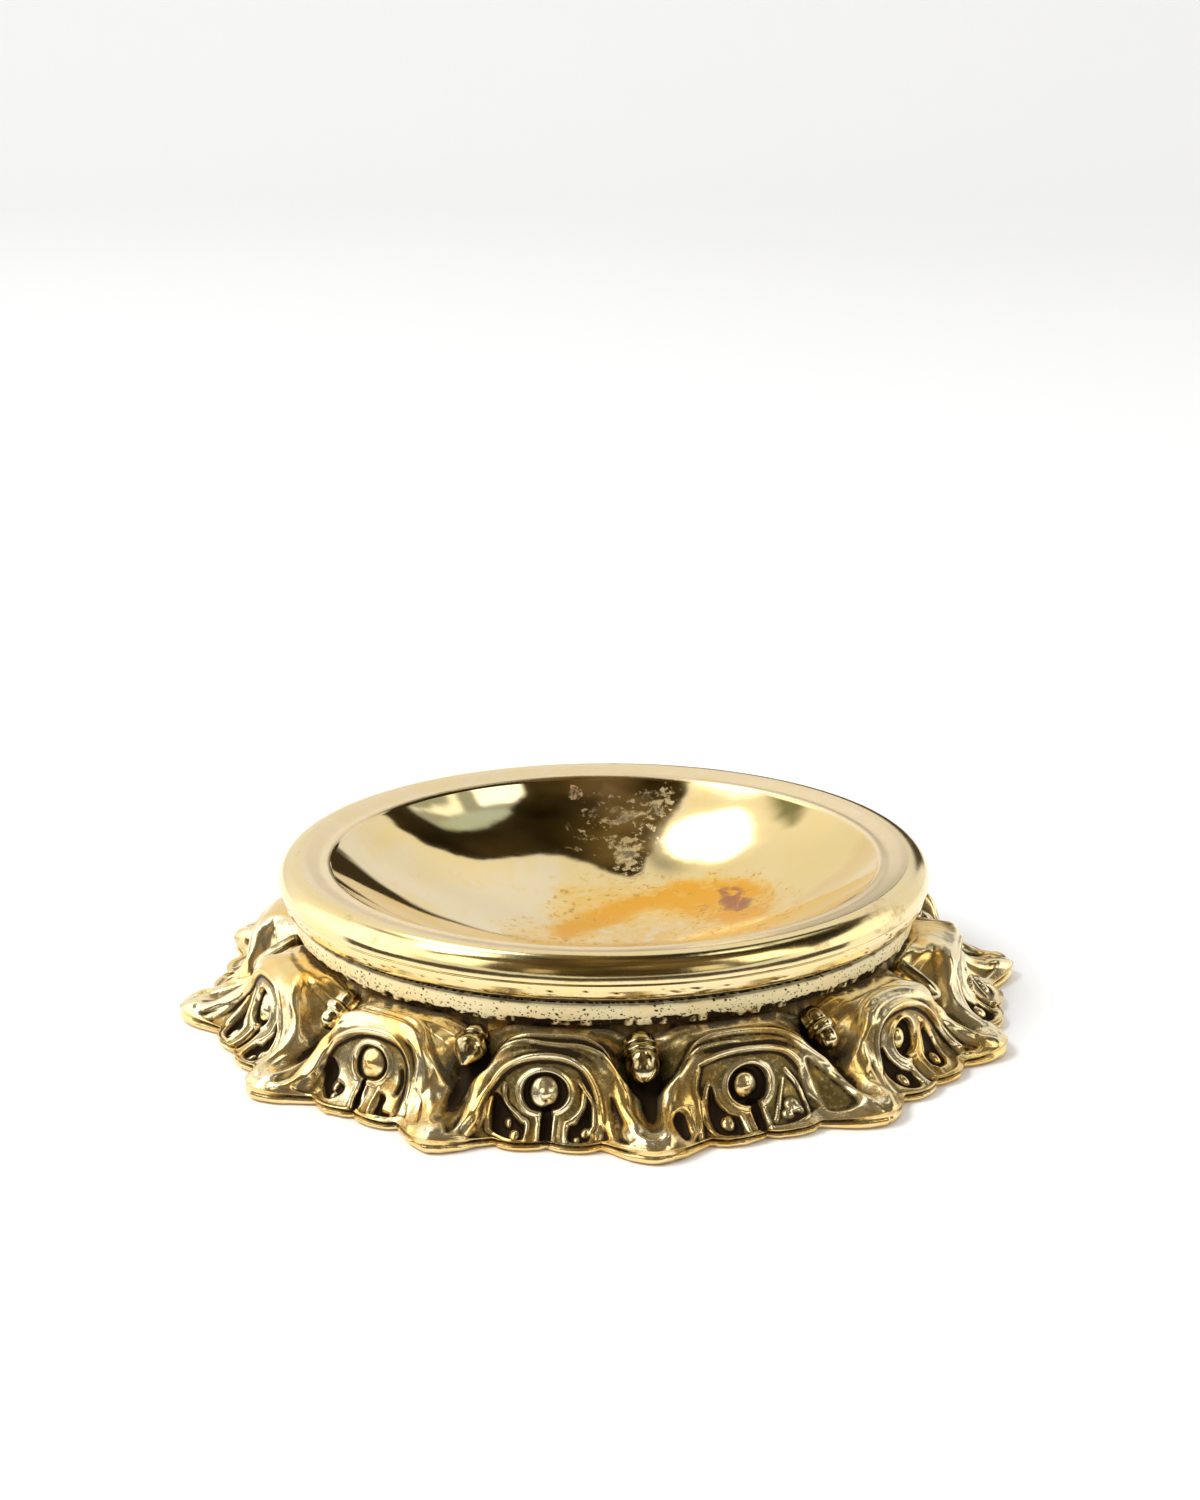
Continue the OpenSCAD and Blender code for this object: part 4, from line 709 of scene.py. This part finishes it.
def mat_plain(name, color, rough, scale=600.0):
    m, nt, bs = new_mat(name); g = G(nt); co = g.coords()
    n1 = g.noise(co, scale, 4.0, 0.6); n2 = g.noise(co, scale * 0.2, 3.0, 0.5, 0.5)
    dk = tuple(x * 0.45 for x in color)
    g.link(g.mix(g.ramp(n2, 0.35, 0.75), color, dk), bs.inputs["Base Color"]); bs.inputs["Metallic"].default_value = 1.0
    g.link(g.math("ADD", rough, g.math("MULTIPLY", n1, 0.2)), bs.inputs["Roughness"])
    g.link(g.bump(n1, 0.25, 0.00008), bs.inputs["Normal"])
    return m

# ------------------------------------------------------------------ make the pieces
skirt = build_skirt(); skirt.data.materials.append(mat_cast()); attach(skirt, "root"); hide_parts("petal_skirt")
bowl = build_bowl(); bowl.data.materials.append(mat_bowl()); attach(bowl, "root"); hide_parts("oil_bowl")
band = build_band(); band.data.materials.append(mat_band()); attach(band, "root"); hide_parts("neck_ring")
mb = mat_bud()
for i in range(12):
    b = build_bud(i); b.data.materials.append(mb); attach(b, "root"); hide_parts("bud_%02d" % (i + 1))
ring_m = mat_plain("clamp_ring_brass", (0.62, 0.48, 0.24), 0.3); steel_m = mat_plain("fixing_steel", (0.52, 0.51, 0.48), 0.28, 900.0)
for name, mm in (("clamp_ring", ring_m), ("clamp_screws", steel_m), ("lock_washers", steel_m)):
    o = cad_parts[name]; o.data.materials.clear(); o.data.materials.append(mm)

# ------------------------------------------------------------------ studio
CAM_AZ = 8.0
# outlines of what stands round the lamp: azimuth from the camera's side, elevation, in degrees
WINDOW = [(128, 50), (121, 55), (112, 60), (105, 66), (103, 72), (112, 73), (124, 71), (131, 67), (133, 67), (139, 61), (141, 55), (140, 50), (137, 48), (133, 47)]
PANE_A = [(108, 63), (102, 69), (105, 73), (114, 73), (124, 70), (126, 66), (127, 63), (119, 63), (116, 62)]
PANE_B = [(122, 56), (119, 59), (124, 59), (130, 59), (134, 56), (134, 52), (134, 48), (133, 51), (130, 55), (125, 57)]
PANE_C = [(131, 60), (131, 67), (135, 65), (139, 61), (141, 55), (139, 51), (136, 54)]
SOFT_1 = [(216, 68), (224, 66), (228, 62), (227, 58), (219, 54), (212, 50), (206, 51), (203, 55), (201, 60), (205, 65)]
SOFT_2 = [(290, 62), (275, 70), (261, 67), (256, 71), (245, 67), (239, 62), (238, 58), (242, 57), (253, 57), (268, 50), (286, 48)]
GREY = [(239, 55), (238, 52), (230, 46), (226, 46), (219, 45), (222, 49), (231, 54)]
def card_dome():
    """What the polished metal mirrors: a white sweep behind, a dim room above and in front, and soft lights."""
    na, ne = 600, 260
    az = np.radians(np.arange(na) * 360.0 / na); el = np.radians(np.linspace(-1.0, 90, ne))
    Az, El = np.meshgrid(az, el, indexing="ij")
    D = np.stack([np.sin(Az) * np.cos(El), -np.cos(Az) * np.cos(El), np.sin(El)], -1)   # az 0 is towards -Y
    azd = (np.degrees(Az) - CAM_AZ) % 360; eld = np.degrees(El)
    QX, QY = (90 - eld) * np.sin(np.radians(azd)), (90 - eld) * np.cos(np.radians(azd))
    def shape(poly, soft, rag=0.0):
        pts = [((90 - e) * math.sin(math.radians(a)), (90 - e) * math.cos(math.radians(a))) for a, e in poly]
        s = signed(QX, QY, pts, 3) + rag * fbm(D * 10, 0.5, 87, 3); return (1 - ease(s, -soft, soft))[..., None]
    # upper edge of the paper
    edge = np.interp(azd, [0, 30, 60, 90, 120, 137, 143, 149, 153, 156, 160, 168, 176, 182, 186, 189, 193, 201, 215, 233, 263, 275, 290, 305, 325, 360],
                     [5, 6, 14, 30, 37, 38, 41, 44, 48, 55, 60, 62, 60, 56, 54, 56, 61, 66, 70, 73, 73, 52, 40, 28, 10, 5])
    nz = fbm(D * 10, 1.2, 81, 3) * 1.2 + 0.8 * fbm(D * 10, 0.3, 107, 2)
    paper = 1 - ease(eld + nz, edge - 0.7, edge + 0.7)
    room = np.array([0.036, 0.025, 0.010])
    var = np.clip(1 + 1.2 * fbm(D * 10, 1.6, 83, 3), 0.15, 4)
    front = ease(np.cos(np.radians(azd)), 0.0, 0.7)
    C = room[None, None, :] * (var * (1 + 2.2 * front * ease(eld, 5, 50)))[..., None]
    br = (ease(azd, 166, 188) * (1 - ease(azd, 215, 240)) * ease(eld, 56, 63) * (1 - 0.5 * ease(eld, 74, 84)) * np.clip(0.75 + 0.9 * fbm(D * 10, 0.9, 105, 3), 0.1, 1.3))[..., None]; C = C * (1 - br) + br * np.array([0.17, 0.12, 0.055])
    zen = ease(eld, 80, 88)
    C = C * (1 - 0.35 * zen[..., None]) + 0.35 * zen[..., None] * np.array([0.30, 0.20, 0.10])
    # the dark room fades into the pale wall on the left of the picture's back
    fadew = ease(azd, 193, 222) * (1 - ease(azd, 262, 275)) * ease(eld, 48, 60)
    side = 0.74 + 0.10 * ease(azd, 205, 225) * (1 - ease(azd, 262, 275)) + 0.08 * fbm(D * 10, 3.0, 89, 2)
    side = side + 0.65 * ease(azd, 226, 244) * (1 - ease(azd, 285, 300)) * (1 - ease(eld, 44, 56)) + 0.45 * ease(azd, 58, 76) * (1 - ease(azd, 112, 126)) * (1 - ease(eld, 26, 36))
    side = side * (1 - 0.55 * ease(azd, 190, 196) * (1 - ease(azd, 200, 214)) * ease(eld, 50, 58))
    C = C * (1 - paper[..., None]) + paper[..., None] * np.array([1.16, 1.13, 1.08]) * side[..., None]
    for poly, col, soft, rag in ((WINDOW, (0.40, 0.42, 0.36), 0.8, 0.8), (PANE_A, (1.7, 1.7, 1.62), 0.7, 0.5), (PANE_B, (1.3, 1.3, 1.2), 0.9, 1.0), (PANE_C, (0.52, 0.60, 0.55), 0.9, 0.6),
                                 (SOFT_1, (1.5, 1.48, 1.42), 4.5, 1.0), (SOFT_2, (1.4, 1.38, 1.3), 4.5, 1.0), (SOFT_1, (4.2, 4.2, 4.1), 1.6, 0.8), (SOFT_2, (3.2, 3.15, 3.0), 2.0, 0.8), (GREY, (0.26, 0.27, 0.19), 1.8, 1.0)):
        f = shape(poly, soft, rag); C = C * (1 - f) + f * np.array(col)
    # something dark and low behind the lamp, and low cards in front
    f = (ease(azd, 151, 155) * (1 - ease(azd, 177, 181)) * (1 - ease(eld + 2 * fbm(D * 10, 0.8, 99, 3), 15.5, 17.5)))[..., None]; C = C * (1 - f) + f * np.array([0.045, 0.032, 0.016])
    for a0, e0, wa, we, col in ((306, 32, 11, 16, (1.8, 1.7, 1.45)), (338, 24, 5, 10, (0.55, 0.46, 0.28)), (36, 22, 6, 10, (0.9, 0.8, 0.55)), (62, 34, 13, 16, (1.7, 1.6, 1.3)), (15, 50, 5, 4, (0.30, 0.24, 0.13))):
        da = np.abs((azd - a0 + 180) % 360 - 180); q = np.maximum(da / wa, np.abs(eld - e0) / we)
        f = (1 - ease(q + 0.15 * fbm(D * 10, 0.9, 101, 2), 0.8, 1.1))[..., None]; C = C * (1 - f) + f * np.array(col)
    v = D * 0.8
    m, n = na, ne
    i = np.arange(m); j = np.arange(n - 1); I, J = np.meshgrid(i, j, indexing="ij"); I2 = (I + 1) % m
    q = np.stack([I * n + J, I2 * n + J, I2 * n + J + 1, I * n + J + 1], -1).reshape(-1, 4)
    me = bpy.data.meshes.new("studio_cards"); me.from_pydata([tuple(x) for x in v.reshape(-1, 3)], [], [tuple(int(t) for t in r) for r in q])
    ca = me.color_attributes.new("card", "FLOAT_COLOR", "POINT")
    ca.data.foreach_set("color", np.concatenate([C.reshape(-1, 3), np.ones((m * n, 1))], 1).astype(np.float32).ravel())
    me.polygons.foreach_set("use_smooth", np.ones(len(me.polygons), bool))
    o = bpy.data.objects.new("studio_cards", me); bpy.context.scene.collection.objects.link(o)
    mt = bpy.data.materials.new("studio_cards"); mt.use_nodes = True; nt = mt.node_tree; nt.nodes.clear()
    out = nt.nodes.new("ShaderNodeOutputMaterial"); em = nt.nodes.new("ShaderNodeEmission"); at = nt.nodes.new("ShaderNodeAttribute"); at.attribute_name = "card"
    nt.links.new(at.outputs["Color"], em.inputs["Color"]); em.inputs["Strength"].default_value = 1.0; nt.links.new(em.outputs[0], out.inputs["Surface"])
    me.materials.append(mt)
    o.visible_camera = False; o.visible_diffuse = False; o.visible_shadow = False; o.visible_transmission = False; o.visible_volume_scatter = False
    return o
card_dome()

# a low dark card on the table in front, seen only in the metal
cv, cf = [], []
for i, a in enumerate(np.linspace(-78, 72, 61)):
    t = math.radians(a + CAM_AZ); rr = 0.084 + 0.003 * math.sin(a * 0.21)
    for z in (0.0, 0.0165 + 0.0015 * math.sin(a * 0.13)): cv.append((rr * math.sin(t), -rr * math.cos(t), z))
    if i: cf.append((2 * i - 2, 2 * i, 2 * i + 1, 2 * i - 1))
cme = bpy.data.meshes.new("studio_front_card"); cme.from_pydata(cv, [], cf)
fcard = bpy.data.objects.new("studio_front_card", cme); bpy.context.scene.collection.objects.link(fcard)
mt, nt, bs = new_mat("studio_dark_card"); bs.inputs["Base Color"].default_value = (0.05, 0.038, 0.02, 1); bs.inputs["Roughness"].default_value = 0.9
cme.materials.append(mt)
fcard.visible_camera = False; fcard.visible_diffuse = False; fcard.visible_shadow = False; fcard.visible_transmission = False; fcard.visible_volume_scatter = False

floor_me = bpy.data.meshes.new("studio_floor")
S, seg = 1.4, 40
fv, ff = [], []
prof = [(-S, 0.0)] + [(0.9 + 0.5 * math.sin(t), 0.5 - 0.5 * math.cos(t)) for t in np.linspace(0, math.pi / 2, 14)] + [(1.4, 1.6)]
for x in (-2.2, 2.2):
    for y, z in prof: fv.append((x, y, z))
n = len(prof)
for i in range(n - 1): ff.append((i, i + 1, n + i + 1, n + i))
floor_me.from_pydata(fv, [], ff)
for p in floor_me.polygons: p.use_smooth = True
floor = bpy.data.objects.new("studio_floor", floor_me); bpy.context.scene.collection.objects.link(floor)
mt, nt, bs = new_mat("studio_paper"); bs.inputs["Base Color"].default_value = (0.885, 0.885, 0.885, 1); bs.inputs["Roughness"].default_value = 0.9; bs.inputs["Specular IOR Level"].default_value = 0.1
floor_me.materials.append(mt)
floor.rotation_euler = (0, 0, math.radians(CAM_AZ))

w = bpy.data.worlds.new("studio"); bpy.context.scene.world = w; w.use_nodes = True
w.node_tree.nodes["Background"].inputs[0].default_value = (1, 0.995, 0.985, 1); w.node_tree.nodes["Background"].inputs[1].default_value = 0.86

def area(name, az, el, dist, size, power, color=(1, 1, 1)):
    a, e = math.radians(az + CAM_AZ), math.radians(el)
    d = np.array([math.sin(a) * math.cos(e), -math.cos(a) * math.cos(e), math.sin(e)])
    L = bpy.data.lights.new(name, "AREA"); L.shape = "DISK"; L.size = size; L.energy = power; L.color = color
    o = bpy.data.objects.new(name, L); bpy.context.scene.collection.objects.link(o)
    o.location = d * dist
    from mathutils import Vector
    o.rotation_euler = (-Vector(d)).to_track_quat("-Z", "Y").to_euler()
    return o
key = area("key_softbox", -60, 52, 1.2, 0.55, 9.0); key.visible_glossy = False

# ------------------------------------------------------------------ camera
from mathutils import Matrix, Vector
cam_d = bpy.data.cameras.new("camera"); cam = bpy.data.objects.new("camera", cam_d); bpy.context.scene.collection.objects.link(cam)
cam_d.sensor_fit = "AUTO"; cam_d.sensor_width = 36.0; cam_d.lens = 3080.745 / 1500.0 * 36.0; cam_d.dof.use_dof = False
e, p, yaw, roll = [math.radians(v) for v in (20.679, 16.052, -0.073, -0.12)]
C = Vector((0, -0.370 * math.cos(e), 0.370 * math.sin(e)))
fw = Vector((math.sin(yaw) * math.cos(p), math.cos(yaw) * math.cos(p), -math.sin(p)))
r = fw.cross(Vector((0, 0, 1))).normalized(); u = r.cross(fw)
r2 = math.cos(roll) * r + math.sin(roll) * u; u2 = -math.sin(roll) * r + math.cos(roll) * u
M = Matrix((( r2.x, u2.x, -fw.x), (r2.y, u2.y, -fw.y), (r2.z, u2.z, -fw.z))).to_4x4(); M.translation = C
cam.matrix_world = Matrix.Rotation(math.radians(CAM_AZ), 4, "Z") @ M
cam_d.clip_start, cam_d.clip_end = 0.01, 20.0
bpy.context.scene.camera = cam
bpy.context.scene.view_settings.view_transform = "Standard"
bpy.context.scene.view_settings.look = "None"
